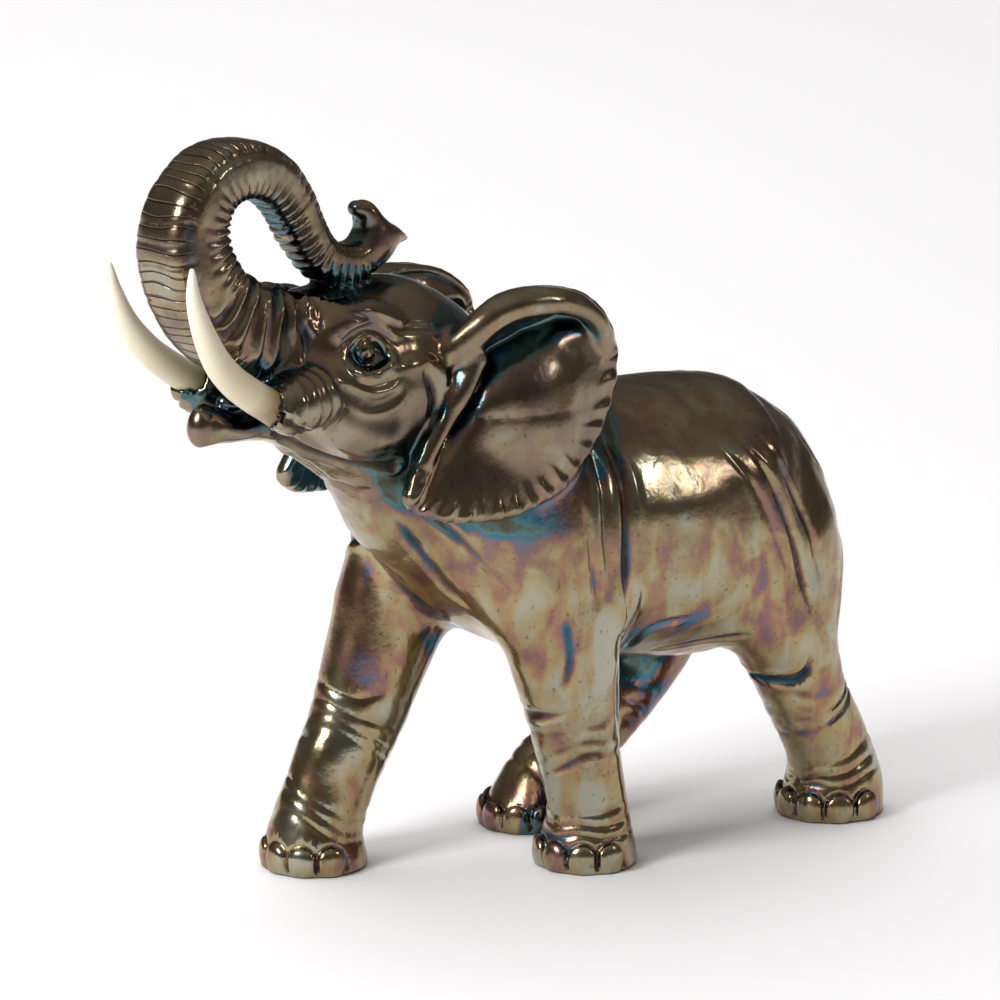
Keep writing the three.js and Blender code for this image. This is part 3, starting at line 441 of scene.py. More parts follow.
def casting(p):
    """Signed distance to the whole casting, without the tusks' sockets, in drawing millimetres."""
    d = np.full(len(p), FAR)
    grow(d, TORSO, 1, p)
    for name, leg in LEGS.items():
        grow(d, leg, 10, p)
        (cx, cy), radius, _ = FEET[name]
        out = np.hypot(p[:, 0] - cx, p[:, 1] - cy)
        low = np.nonzero((p[:, 2] < NAIL_REACH[1]) & (out < radius + NAIL_REACH[0]))[0]
        toes = d[low]
        for nail in NAILS[name]:
            grow(toes, nail, 1, p[low])
        d[low] = toes
    h = to_head(p)
    a = np.abs(h[:, 0])[:, None]
    m = np.hstack([a, h[:, 1:]])
    for form, k in HEAD:
        grow(d, form, k, h)
    grow(d, CHEEK, 8, m)
    grow(d, BROW, 6, m)
    grow(d, TUSK_SHEATH, 6, m)
    near = np.nonzero(box_distance(EYE_SOCKET, m) < 4)[0]
    d[near] = -blend(-d[near], EYE_SOCKET.distance(m[near]), 2)
    d[near] = blend(d[near], EYE_BALL.distance(m[near]), 1)
    for side, pick in (("left", h[:, 0] > 0), ("right", h[:, 0] <= 0)):
        pick = np.nonzero(pick)[0]
        ear = np.full(len(pick), FAR)
        for form, k in EARS[side]:
            grow(ear, form, k, m[pick])
        d[pick] = blend(d[pick], ear, 3)
    trunk = np.full(len(p), FAR)
    grow(trunk, TRUNK, 1, h)
    for lip in TRUNK_LIPS:
        grow(trunk, lip, 3, h)
    d = blend(d, trunk, 4)
    grow(d, TAIL, 3, p)
    return d


# Tusks: each one's curve in the head's own frame, from its root in the socket to its tip.
TUSK_PATHS = {
    "left": [
        [18, -137, 169.5], [19.6, -143.5, 173.2], [20.4, -150.4, 177.2], [20.6, -157.6, 182.4],
        [20.6, -164.2, 189.6], [20.5, -169.6, 199.8], [20, -172.8, 210.5], [19.6, -173, 219.5],
    ],
    "right": [
        [-18, -131, 168.5], [-19.5, -138, 173.8], [-20.3, -146.3, 178.6], [-20.5, -157, 186.6],
        [-20.5, -165.6, 196.7], [-20, -170.8, 207.5], [-19.5, -173.2, 216.5],
    ],
}


def tusk_curve(side, steps):
    """Points evenly along a tusk's curve, and its radius at each: nearly full, then falling fast."""
    dense = spline_rows(from_head(TUSK_PATHS[side]).tolist(), 12)
    run = run_along(dense)
    share = np.linspace(0, 1, steps + 1)
    points = np.stack([np.interp(share * run[-1], run, dense[:, k]) for k in range(3)], 1)
    radius = TUSK_TIP_RADIUS + (TUSK_ROOT_RADIUS - TUSK_TIP_RADIUS) * (1 - share**2.2) ** 0.8
    return points, radius


def tusk_form(side, extra):
    points, radius = tusk_curve(side, 14)
    radius = (radius + extra)[:, None]
    return Limb(np.hstack([points, radius, radius]).tolist(), per_span=2)


BORES = [tusk_form(side, SOCKET_CLEARANCE) for side in TUSK_PATHS]


# Relief: how far the surface is pressed in, in millimetres, at points near it.
def wobble(p, wavelength, seed, waves=9):
    """Smooth noise of unit size: a few plane waves in fixed random directions."""
    rng = np.random.default_rng(seed)
    k = rng.normal(size=(3, waves))
    k *= 2 * math.pi / wavelength / np.linalg.norm(k, axis=0) * rng.uniform(0.6, 1.4, waves)
    return np.sin(p @ k + rng.uniform(0, 2 * math.pi, waves)).sum(1) * math.sqrt(2 / waves)


OUTSIDE = 72.0  # from the middle plane, beyond every form


def laid(paths, side, head=False):
    """Paths drawn in side elevation, each [y, z] rows, laid on that side's surface."""
    rows = [spline_rows(path, 5) for path in paths]
    flat = np.vstack(rows)
    x = np.full(len(flat), OUTSIDE)
    # Each point walks inwards until it meets the surface, with steps short enough not to pass it.
    for _ in range(26):
        p = np.column_stack([side * x, flat])
        x = x - 0.7 * casting(from_head(p) if head else p)
        x = np.clip(x, 0, OUTSIDE)
    p = np.column_stack([side * x, flat])
    return np.split(from_head(p) if head else p, np.cumsum([len(r) for r in rows])[:-1])


class Crease:
    """A groove along a path on the surface, with the skin swelling a little beside it."""

    def __init__(self, path, width, depth, swell=0.3):
        self.path, self.width, self.depth, self.swell = path, width, depth, swell
        self.lo, self.hi = path.min(0) - 4 * width, path.max(0) + 4 * width
        self.run = run_along(path)

    def press(self, p):
        best, where = np.full(len(p), np.inf), np.zeros(len(p))
        for i in range(len(self.path) - 1):
            a, e = self.path[i], self.path[i + 1] - self.path[i]
            t = np.clip(((p - a) @ e) / max(e @ e, 1e-9), 0, 1)
            d = np.linalg.norm(p - a - t[:, None] * e, axis=1)
            nearer = d < best
            best = np.where(nearer, d, best)
            where = np.where(nearer, self.run[i] + t * (self.run[i + 1] - self.run[i]), where)
        share = where / self.run[-1]
        # It fades out over a quarter of its length at each end.
        taper = smooth(share, 0, 0.25) * smooth(1 - share, 0, 0.25)
        q = best / (self.width * (0.6 + 0.4 * taper))
        return self.depth * taper * (np.exp(-q * q) - self.swell * np.exp(-((q - 2) ** 2) / 0.8))


# The casting's mesh: a fine grid only near the surface, one point in each cell that it crosses.
CORNERS = np.array([[c & 1, (c >> 1) & 1, c >> 2] for c in range(8)])
EDGES = [(a, b) for a in range(8) for b in range(a + 1, 8) if bin(a ^ b).count("1") == 1]
COARSEST = 16  # fine cells along a cell of the first round
HALF_DIAGONAL = 0.866  # of a cell with sides of 1
SPARE = 1.25  # what is kept beyond it, as distances further out are not quite true


def surface_mesh(field, lo, hi, cell):
    """Points and quads of a field's surface inside a box, from cells halved down to the fine ones."""
    size = np.ceil((np.array(hi) - lo) / cell / COARSEST).astype(int) * COARSEST + COARSEST
    step = COARSEST
    cells = np.stack(np.meshgrid(*[np.arange(0, n, step) for n in size], indexing="ij"), -1).reshape(-1, 3)
    while True:
        middle = lo + (cells + step / 2) * cell
        cells = cells[np.abs(field(middle)) < step * cell * HALF_DIAGONAL * SPARE + 0.8]
        if step == 1:
            break
        step //= 2
        cells = (cells[:, None, :] + CORNERS[None] * step).reshape(-1, 3)

    def key(c):
        return (c[..., 2] * (size[1] + 2) + c[..., 1]) * (size[0] + 2) + c[..., 0]

    cells = cells[np.argsort(key(cells))]
    cell_keys = key(cells)
    corner_keys = key(cells[:, None, :] + CORNERS[None])
    known, back = np.unique(corner_keys, return_inverse=True)
    back = back.reshape(corner_keys.shape)
    grid = np.empty((len(known), 3), int)
    grid[back.ravel()] = (cells[:, None, :] + CORNERS[None]).reshape(-1, 3)
    values = field(lo + grid * cell)
    values[values == 0] = 1e-9
    v = values[back]
    crossing = (v < 0).any(1) & (v >= 0).any(1)
    total, count = np.zeros((len(cells), 3)), np.zeros(len(cells))
    for a, b in EDGES:
        cut = (v[:, a] < 0) != (v[:, b] < 0)
        t = np.where(cut, v[:, a] / np.where(cut, v[:, a] - v[:, b], 1), 0)
        total += np.where(cut[:, None], CORNERS[a] + t[:, None] * (CORNERS[b] - CORNERS[a]), 0)
        count += cut
    number = np.full(len(cells), -1)
    number[crossing] = np.arange(crossing.sum())
    points = lo + (cells[crossing] + total[crossing] / count[crossing][:, None]) * cell
    faces = []
    stride = np.array([1, size[0] + 2, (size[0] + 2) * (size[1] + 2)])
    for axis in range(3):
        j, k = (axis + 1) % 3, (axis + 2) % 3
        nxt = np.minimum(np.searchsorted(known, known + stride[axis]), len(known) - 1)
        cut = (known[nxt] == known + stride[axis]) & ((values < 0) != (values[nxt] < 0))
        start = known[cut]
        ring = []
        for dj, dk in ((0, 0), (1, 0), (1, 1), (0, 1)):
            want = start - dj * stride[j] - dk * stride[k]
            found = np.minimum(np.searchsorted(cell_keys, want), len(cells) - 1)
            ring.append(np.where(cell_keys[found] == want, number[found], -1))
        quads = np.stack(ring, 1)
        inward = values[cut] >= 0
        quads[inward] = quads[inward][:, ::-1]
        faces.append(quads[(quads >= 0).all(1)])
    return points, np.vstack(faces)


def around_form(form, p, d, margin, top=FAR):
    """The points whose surface is this form's, or nearly, and their distances from it."""
    near = np.nonzero((box_distance(form, p) < margin) & (p[:, 2] < top))[0]
    reach = form.distance(p[near])
    keep = reach < d[near] + margin
    return near[keep], reach[keep]


# Carving of the trunk: rings across its outer face, broken ones on its sides, pleats inside the curl.
RING_PITCH = (5.2, 3.0)  # at the root and at the tip


def trunk_place(q):
    """Distance from the trunk's root, turns of the rings and their pitch, and shares of its radii."""
    at, t, now, (side, deep, _), _ = TRUNK.locate(q)
    run = TRUNK.run(at, t)
    u, v = side / now[:, 3], deep / now[:, 4]
    slope = (RING_PITCH[1] - RING_PITCH[0]) / TRUNK.length[-1]
    pitch = RING_PITCH[0] + slope * run
    turns = np.log(pitch / RING_PITCH[0]) / slope + 0.10 * wobble(q, 16, 11)
    return run, turns, pitch, u, v


def trunk_rings(h, d):
    press = np.zeros(len(h))
    pick, reach = around_form(TRUNK, h, d, 2.5)
    q = h[pick]
    run, turns, pitch, u, v = trunk_place(q)
    around = np.arctan2(v, np.abs(u))
    total = TRUNK.length[-1]
    turns = turns + 0.22 * smooth(np.abs(around), 0.0, 1.2) * np.sign(around)
    ring = np.floor(turns)
    off = (turns - ring - 0.5) * pitch
    vary = 0.75 + 0.25 * np.sin(ring * 12.9 + 3 * np.sign(u))
    outer = smooth(v, 0.45, 0.72)
    inner = smooth(-v, -0.1, 0.6)
    flank = 1 - np.maximum(outer, inner)
    broken = smooth(wobble(q, 9, 12), -0.4, 0.9)
    press_at = outer * 0.25 * vary * bell(off, 0.5)
    press_at += flank * 0.3 * broken * vary * bell(off, 0.6)
    pleat = np.cos(2 * math.pi * (turns - ring - 0.5))
    press_at += inner * (0.5 * bell(off, 0.7) + 0.42 * pleat) * (0.6 + 0.4 * vary)
    # The edges between the faces are drawn in a little, with long folds at the root.
    press_at += 0.5 * bell(v - 0.62, 0.12) * smooth(np.abs(u), 0.6, 0.8) * smooth(run, 25, 60)
    root = smooth(run, 10, 20) * (1 - smooth(run, 45, 62))
    fold = np.cos(2 * math.pi * (run + 3 * u + 1.6 * wobble(q, 22, 13)) / 6.6)
    press_at += root * (1 - outer) * 0.9 * (0.3 - np.maximum(fold, -0.45))
    near = 1 - smooth(reach - d[pick], 0.3, 2.5)
    tip = 1 - smooth(run, total - 14, total - 4)
    press[pick] = press_at * near * tip * smooth(run, 6, 16)
    return press


SHEATH_PITCH = 4.2


def sheath_rings(m, d):
    """Folds round the skin that each tusk comes out of."""
    press = np.zeros(len(m))
    pick, reach = around_form(TUSK_SHEATH, m, d, 2)
    q = m[pick]
    at, t, _, (_, _, along), _ = TUSK_SHEATH.locate(q)
    run = TUSK_SHEATH.run(at, t) + np.maximum(along, 0)
    turns = (run + 0.5 * wobble(q, 14, 21)) / SHEATH_PITCH
    press_at = 0.55 * bell((turns - np.round(turns)) * SHEATH_PITCH, 0.8) * smooth(run, 7, 14)
    press[pick] = press_at * (1 - smooth(reach - d[pick], 0.2, 2)) * smooth(q[:, 0], 12, 20)
    return press


def ear_carving(side, m, d):
    """Radiating folds inside the rim, and fine veins over the ear's face."""
    plate = EARS[side][0][0]
    pick = np.nonzero(box_distance(plate, m) < 1)[0]
    press = np.zeros(len(m))
    q = m[pick]
    s, t, n = plate.sheet(q)
    edge = outline_distance(EAR_EDGE, s, t)
    fan = np.arctan2(t, s) * RIM_WAVES / (2 * math.pi) + 0.12 * wobble(q, 18, 31)
    rib = bell(fan - np.round(fan), 0.2)
    reach_in = 7 + 7 * smooth(s - t, 30, 55) + 2.5 * np.sin(2.4 * np.round(fan))
    below = smooth(0.4 * s - t, 0, 6)
    press_at = (0.2 - 0.75 * rib) * smooth(edge, -reach_in, -3.5) * (1 - smooth(edge, -3.5, -0.6)) * below
    press_at += 0.9 * bell(edge + 3.2, 1.3) * smooth(t - 0.2 * s, 4, 14) * smooth(s, 0, 8)
    sweep = np.cos((0.75 * s + t + 3.0 * wobble(q, 40, 32)) / 3.1)
    press_at += 0.1 * sweep * smooth(-edge, 8, 18)
    press[pick] = press_at * (1 - smooth(np.abs(n - ear_surface(s, t, np.minimum(edge, 0))), 3, 6))
    return press


# Wrinkles that run round a leg, a few at the knee and closer ones at the ankle: how far up from the
# sole, their width and their depth.
LEG_WRINKLES = [
    (13.5, 0.9, 0.6), (18, 0.9, 0.5), (22.5, 1.0, 0.45), (41, 1.3, 0.7), (46, 1.1, 0.5),
    (52, 1.3, 0.6), (60, 1.3, 0.4),
]
WRINKLES_TOP = 70


def leg_rings(name, p, d):
    leg = LEGS[name]
    press = np.zeros(len(p))
    pick, reach = around_form(leg, p, d, 2, WRINKLES_TOP)
    q = p[pick]
    at, t, *_ = leg.locate(q)
    run = leg.length[-1] - leg.run(at, t)
    seed = sorted(LEGS).index(name) * 10
    warp = 1.7 * wobble(q, 26, 41 + seed)
    broken = smooth(wobble(q * [1, 1, 0.45], 13, 42 + seed), -0.5, 1.0)
    press_at = np.zeros(len(q))
    for height, width, depth in LEG_WRINKLES:
        press_at += depth * (0.35 + 0.65 * broken) * bell(run - height + warp, width)
    press[pick] = press_at * (1 - smooth(reach - d[pick], 0.3, 2))
    return press


# Creases drawn in side elevation as [y, z], with a width and a depth.
BODY_CREASES = [
    ([[-5, 148], [-2, 132], [-3, 112], [-2, 91], [-1, 74]], 2.2, 2.0),
    ([[-13, 147], [-12, 133], [-13, 116], [-11, 98]], 2.0, 1.2),
    ([[-23, 130], [-19, 107], [-17, 87]], 1.8, 0.9),
    ([[46, 141], [57, 123], [65, 105], [70, 87], [75, 71]], 1.6, 1.3),
    ([[54, 142], [65, 123], [74, 103], [78, 84]], 1.5, 1.0),
    ([[38, 139], [49, 123], [58, 104], [64, 88]], 1.3, 0.6),
    ([[83, 134], [93, 119], [99, 101]], 1.4, 0.7),
    ([[29, 80], [17, 79], [12, 75], [11, 68]], 1.3, 1.1),
    ([[20, 67], [35, 68], [54, 71]], 1.5, 1.2),
    ([[49, 66], [60, 54], [71, 53], [75, 62], [72, 72]], 1.7, 1.4),
    ([[-84, 129], [-66, 108], [-50, 90]], 1.6, 0.9),
    ([[-76, 134], [-58, 114], [-42, 94]], 1.5, 0.7),
]
FORE_LEFT_CREASES = [
    ([[-45, 51], [-36, 53], [-24, 57]], 1.8, 1.3),
    ([[-30, 92], [-27, 74], [-29, 60]], 2.2, 0.8),
    ([[-2, 78], [-4, 60], [-2, 44]], 2.0, 0.7),
]
HEAD_CREASES = [
    ([[-122.7, 179.5], [-116.5, 173], [-105.7, 168.3], [-97, 170], [-92, 174.6]], 1.8, 1.4),
    ([[-113.5, 177.4], [-107, 174.8], [-101, 174.6], [-95, 175.8]], 1.1, 0.7),
    ([[-116, 187], [-109.5, 191.4], [-103.5, 192.8], [-97, 190], [-92.5, 184]], 1.2, 1.0),
    ([[-116, 196], [-109.9, 197.7], [-99.6, 194.2], [-89.7, 190.5], [-82, 189.7], [-70, 187.4]], 1.3, 0.9),
    ([[-96, 177.6], [-86.6, 179.2], [-78, 175.3], [-72.4, 169]], 2.6, -1.1),
    ([[-132, 163], [-115, 152], [-95, 145], [-80, 145]], 1.9, 1.3),
    ([[-124, 156], [-108, 144.5], [-90, 133]], 1.7, 1.0),
    ([[-146, 173], [-140, 167], [-131, 163], [-122, 163]], 1.7, 1.4),
    ([[-120, 171], [-106, 162], [-88, 156]], 5.0, 1.1),
    ([[-86, 181], [-80, 170], [-78, 158]], 2.2, 1.0),
]
EYELIDS = [
    (
        [[-115.5, 183.5], [-109.4, 188.2], [-104.2, 189.8], [-99, 187.6], [-95.5, 182.5], [-92, 177]],
        1.1, -1.2,
    ),
    ([[-115.5, 183.5], [-112.6, 180.6], [-107.5, 178.6], [-101, 178.4], [-92, 177]], 1.0, -0.9),
]
PUPIL = [25.2, -105.8, 184.2]
EYE_CORNER = {"place": (-98.6, 180.8), "radii": (3.8, 2.8), "height": 1.8}  # in side elevation
# Broad swellings of bone and muscle: centre, radius and height.
SWELLS = [
    ([36, 58, 132], 13, 1.6),
    ([40, 64, 68], 11, 2.0),
    ([38, -18, 122], 17, 1.6),
    ([40, -2, 88], 9, 1.4),
    ([41, 26, 116], 18, 0.9),
    ([34, 88, 100], 15, 1.2),
]


def nail_outlines(p):
    """The cut that sets each toenail off from the foot."""
    press = np.zeros(len(p))
    for nails in NAILS.values():
        for nail in nails:
            near = np.nonzero((box_distance(nail, p) < 2) & (p[:, 2] < 13))[0]
            press[near] += 0.7 * bell(nail.distance(p[near]) - 0.5, 0.5)
    return press


def creases(rows, sides=(1, -1), head=False, swell=0.3):
    found = []
    for side in sides:
        paths = laid([row[0] for row in rows], side, head)
        found += [Crease(path, w, a, swell) for path, (_, w, a) in zip(paths, rows)]
    return found


CREASES = (
    creases(BODY_CREASES)
    + creases(HEAD_CREASES, head=True)
    + creases(EYELIDS, head=True, swell=0)
    + creases(FORE_LEFT_CREASES, sides=[1])
)


def relief(p, d):
    """All the relief at points near the surface, d being their distances from the plain casting."""
    press = 0.16 * wobble(p, 24, SEED) + 0.05 * wobble(p, 7, SEED + 1)
    for name in LEGS:
        press += leg_rings(name, p, d)
    for crease in CREASES:
        near = np.nonzero(box_distance(crease, p) <= 0)[0]
        press[near] += crease.press(p[near])
    for centre, radius, height in SWELLS:
        for side in (1, -1):
            off = p - np.array(centre) * [side, 1, 1]
            near = np.nonzero(np.abs(off).max(1) < 2.4 * radius)[0]
            press[near] -= height * np.exp(-(off[near] ** 2).sum(1) / radius**2)
    press += nail_outlines(p)
    h = to_head(p)
    m = np.column_stack([np.abs(h[:, 0]), h[:, 1:]])
    press += trunk_rings(h, d) + sheath_rings(m, d)
    left = h[:, 0] > 0
    press[left] += ear_carving("left", m[left], d[left])
    press[~left] += ear_carving("right", m[~left], d[~left])
    r = np.hypot(m[:, 1] - EYE_CENTRE[1], m[:, 2] - EYE_CENTRE[2])
    ball = (m[:, 0] > 20) & (r < 7)
    press[ball] += 0.45 * bell(r[ball] - 2.6, 0.4) + 0.4 * bell(r[ball], 0.9)
    # The white of the eye fills its corner behind the ball.
    (cy, cz), (ry, rz) = EYE_CORNER["place"], EYE_CORNER["radii"]
    corner = (m[:, 0] > 17) & (np.hypot(m[:, 1] - cy, m[:, 2] - cz) < 9)
    along, up = (m[corner, 1] - cy) / ry, (m[corner, 2] - cz) / rz
    press[corner] -= EYE_CORNER["height"] * np.exp(-(along**2) - up**2)
    return press * smooth(p[:, 2], 0.3, 2.5)


def cut_out(d, p):
    """Takes the tusks' sockets and what lies below the soles out of the distances d."""
    for bore in BORES:
        near = np.nonzero(box_distance(bore, p) < 4)[0]
        d[near] = np.maximum(d[near], -bore.distance(p[near]))
    return np.maximum(d, -p[:, 2])


def plain(p):
    """Signed distance to the casting before it is carved."""
    return cut_out(casting(p), p)


def carved(p):
    """Signed distance to the finished casting, at points near its surface."""
    d = casting(p)
    return cut_out(d + relief(p, d), p)


def in_parts(function, p, size=150000):
    return np.concatenate([function(p[i : i + size]) for i in range(0, len(p), size)])


def vertex_normals(points, faces):
    """Unit normals at the points of a mesh of quads or triangles."""
    diagonals = points[faces[:, 2]] - points[faces[:, 0]], points[faces[:, -1]] - points[faces[:, 1]]
    face = np.cross(*diagonals)
    total = np.zeros_like(points)
    for k in range(faces.shape[1]):
        np.add.at(total, faces[:, k], face)
    return total / np.maximum(np.linalg.norm(total, axis=1), 1e-9)[:, None]


def settle(points, faces, field, rounds, limit=2.5):
    """Moves a mesh's points along their normals onto a field's surface."""
    normals = vertex_normals(points, faces)
    for _ in range(rounds):
        step = np.clip(in_parts(field, points), -limit, limit)
        points = points - normals * step[:, None]
        points[:, 2] = np.maximum(points[:, 2], 0)
    return points


# Making the meshes.
def linked(name, data):
    """A new object of the scene."""
    thing = bpy.data.objects.new(name, data)
    bpy.context.scene.collection.objects.link(thing)
    return thing


def to_mesh(name, points, faces):
    """A smooth-shaded object at the origin, from points in metres and faces that look outwards."""
    mesh = bpy.data.meshes.new(name)
    width = faces.shape[1]
    mesh.vertices.add(len(points))
    mesh.vertices.foreach_set("co", points.astype(np.float32).ravel())
    mesh.loops.add(faces.size)
    mesh.loops.foreach_set("vertex_index", faces.astype(np.int32).ravel())
    mesh.polygons.add(len(faces))
    mesh.polygons.foreach_set("loop_start", np.arange(0, faces.size, width, dtype=np.int32))
    mesh.polygons.foreach_set("use_smooth", np.ones(len(faces), bool))
    mesh.update(calc_edges=True)
    mesh.validate()
    return linked(name, mesh)


def read_mesh(mesh):
    """A triangle mesh's points and faces as arrays."""
    mesh.calc_loop_triangles()
    points = np.empty(len(mesh.vertices) * 3, np.float32)
    mesh.vertices.foreach_get("co", points)
    faces = np.empty(len(mesh.loop_triangles) * 3, np.int32)
    mesh.loop_triangles.foreach_get("vertices", faces)
    return points.reshape(-1, 3).astype(float), faces.reshape(-1, 3)


def thinned(name, points, faces, triangles):
    """The same surface in fewer triangles, kept dense where it is carved."""
    piece = to_mesh(name, points, faces)
    modifier = piece.modifiers.new("thin", "DECIMATE")
    modifier.ratio = min(1, triangles / (len(faces) * (faces.shape[1] - 2)))
    seen = piece.evaluated_get(bpy.context.evaluated_depsgraph_get())
    mesh = bpy.data.meshes.new_from_object(seen)
    found = read_mesh(mesh)
    bpy.data.objects.remove(piece)
    bpy.data.meshes.remove(mesh)
    return found


def attribute(mesh, name, values):
    mesh.attributes.new(name, "FLOAT", "POINT").data.foreach_set("value", values.astype(np.float32))


def into_frame(points, solid):
    """Points of the drawing in metres in the frame, kept inside the box of the solid they stand for."""
    lo, hi = (np.array(corner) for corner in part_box(solid))
    return np.clip((points + SHIFT) / PER_METRE, lo, hi)


# The casting: a fine mesh of its plain form, then carved, thinned, and carved again.
LOWEST, HIGHEST = np.array([-72.3, -186.3, -1.7]), np.array([72.3, 128.0, 258.0])
points, quads = surface_mesh(lambda p: in_parts(plain, p), LOWEST, HIGHEST, CELL)
points = settle(points, quads, plain, 1)
lo, hi = (np.array(corner) * PER_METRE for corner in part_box("elephant"))
SHIFT = (lo + hi) / 2 - (points.min(0) + points.max(0)) / 2  # from the drawing to the frame, mm
SHIFT[2] = 0
points = settle(points, quads, carved, 2)
points, faces = thinned("rough_casting", points, quads, CASTING_TRIANGLES)
points = settle(points, faces, carved, 1, 0.3)

normals = vertex_normals(points, faces)
# How far the relief presses in: the finish thickens the film there and lays painted shade in it.
groove = in_parts(lambda p: relief(p, casting(p)), points)


def shut_in(reach):
    """How much each point is shut in by the forms around it, looking out by a reach in mm."""
    return 1 - np.clip(in_parts(casting, points + normals * reach) / reach, 0, 1)


# How shut in each point is: the finish lays painted shade by both, and hollow also thickens the film.
Limb.eased = False  # away from the surface the plain distances are the better ones
crevice, hollow = shut_in(5), shut_in(16)
Limb.eased = True

elephant = to_mesh("elephant_casting", into_frame(points, "elephant"), faces)
attribute(elephant.data, "groove", groove)
attribute(elephant.data, "hollow", hollow)
# The trunk's rings are finer than the mesh: their place goes to the finish as a count and a share,
# where each cut is drawn with a bump and a line of painted shade.
LINES_PER_PLEAT = 1.7  # the lines on the front are closer than the pleats of the sides
head = to_head(points)
run, turns, _, _, deep = trunk_place(head)
reach = TRUNK.distance(head) - in_parts(casting, points)
face = smooth(deep, 0.5, 0.75) * (1 - smooth(reach, 0.2, 2)) * smooth(run, 6, 16)
face *= 1 - smooth(run, TRUNK.length[-1] - 12, TRUNK.length[-1] - 2)
attribute(elephant.data, "rings", turns * LINES_PER_PLEAT)
attribute(elephant.data, "ring_share", face)
# The eye's pupil and the edge of its iris are drawn from the distance to the pupil, in mm.
mirrored = np.column_stack([np.abs(head[:, 0]), head[:, 1:]])
from_pupil = np.linalg.norm(mirrored - np.array(PUPIL), axis=1)
attribute(elephant.data, "from_pupil", np.minimum(from_pupil, 20))
# The crevice measure darkens the finish as painted shade, less of it round the eye.
attribute(elephant.data, "crevice", crevice * (0.45 + 0.55 * smooth(from_pupil, 5, 9)))


def tusk_piece(side, steps=72, sectors=40):
    """A horn of round section along its curve, with a rounded tip and a closed root."""
    path, radius = tusk_curve(side, steps)
    along, across = directions(path)
    deep = np.cross(along, across)
    angle = np.arange(sectors) * 2 * math.pi / sectors
    ring = (
        path[:, None, :]
        + radius[:, None, None] * (np.cos(angle)[None, :, None] * across[:, None, :])
        + radius[:, None, None] * (np.sin(angle)[None, :, None] * deep[:, None, :])
    )
    tip = path[-1] + along[-1] * TUSK_TIP_RADIUS * 0.6
    points = np.vstack([ring.reshape(-1, 3), path[:1], tip[None]])
    faces = []
    for i in range(steps):
        for j in range(sectors):
            a, b = i * sectors + j, i * sectors + (j + 1) % sectors
            faces += [(a, b, b + sectors), (a, b + sectors, a + sectors)]
    root, point, last = len(points) - 2, len(points) - 1, steps * sectors
    for j in range(sectors):
        k = (j + 1) % sectors
        faces += [(root, k, j), (point, last + j, last + k)]
    share = np.concatenate([np.repeat(np.linspace(0, 1, steps + 1), sectors), [0, 1]])
    solid = "tusk_" + side
    piece = to_mesh(solid + "_horn", into_frame(points, solid), np.array(faces))
    attribute(piece.data, "from_root", share)
    return piece


tusks = {side: tusk_piece(side) for side in TUSK_PATHS}


# Finishes.
def linear(hex_colour):
    """An sRGB hex colour as linear RGBA."""
    parts = [int(hex_colour[i : i + 2], 16) / 255 for i in (1, 3, 5)]
    return [c / 12.92 if c <= 0.04045 else ((c + 0.055) / 1.055) ** 2.4 for c in parts] + [1.0]


def node(tree, kind, inputs=(), out=0, stops=(), **settings):
    """Adds a node and gives one of its outputs.

    Inputs come in order, or by name in a dict, each a value or another node's output. Stops are a
    colour ramp's rows of place and hex colour.
    """
    made = tree.nodes.new(kind)
    for key, value in settings.items():
        setattr(made, key, value)
    for key, value in inputs.items() if isinstance(inputs, dict) else enumerate(inputs):
        if isinstance(value, bpy.types.NodeSocket):
            tree.links.new(value, made.inputs[key])
        else:
            made.inputs[key].default_value = value
    for count, (place, colour) in enumerate(stops):
        elements = made.color_ramp.elements
        element = elements[count] if count < 2 else elements.new(place)
        element.position = place
        element.color = linear(colour)
    return made.outputs[out]


def joined(tree, value, operation, rows):
    """Joins soft ranges of patterns to a value: each row is a pattern, from, to, least and greatest."""
    for row in rows:
        part = node(tree, "ShaderNodeMapRange", row, interpolation_type="SMOOTHSTEP")
        value = node(
            tree, "ShaderNodeMath", [value, part], operation=operation, use_clamp=row is rows[-1]
        )
    return value


def new_material(name):
    material = bpy.data.materials.new(name)
    material.use_nodes = True
    return material, material.node_tree, material.node_tree.nodes["Principled BSDF"]
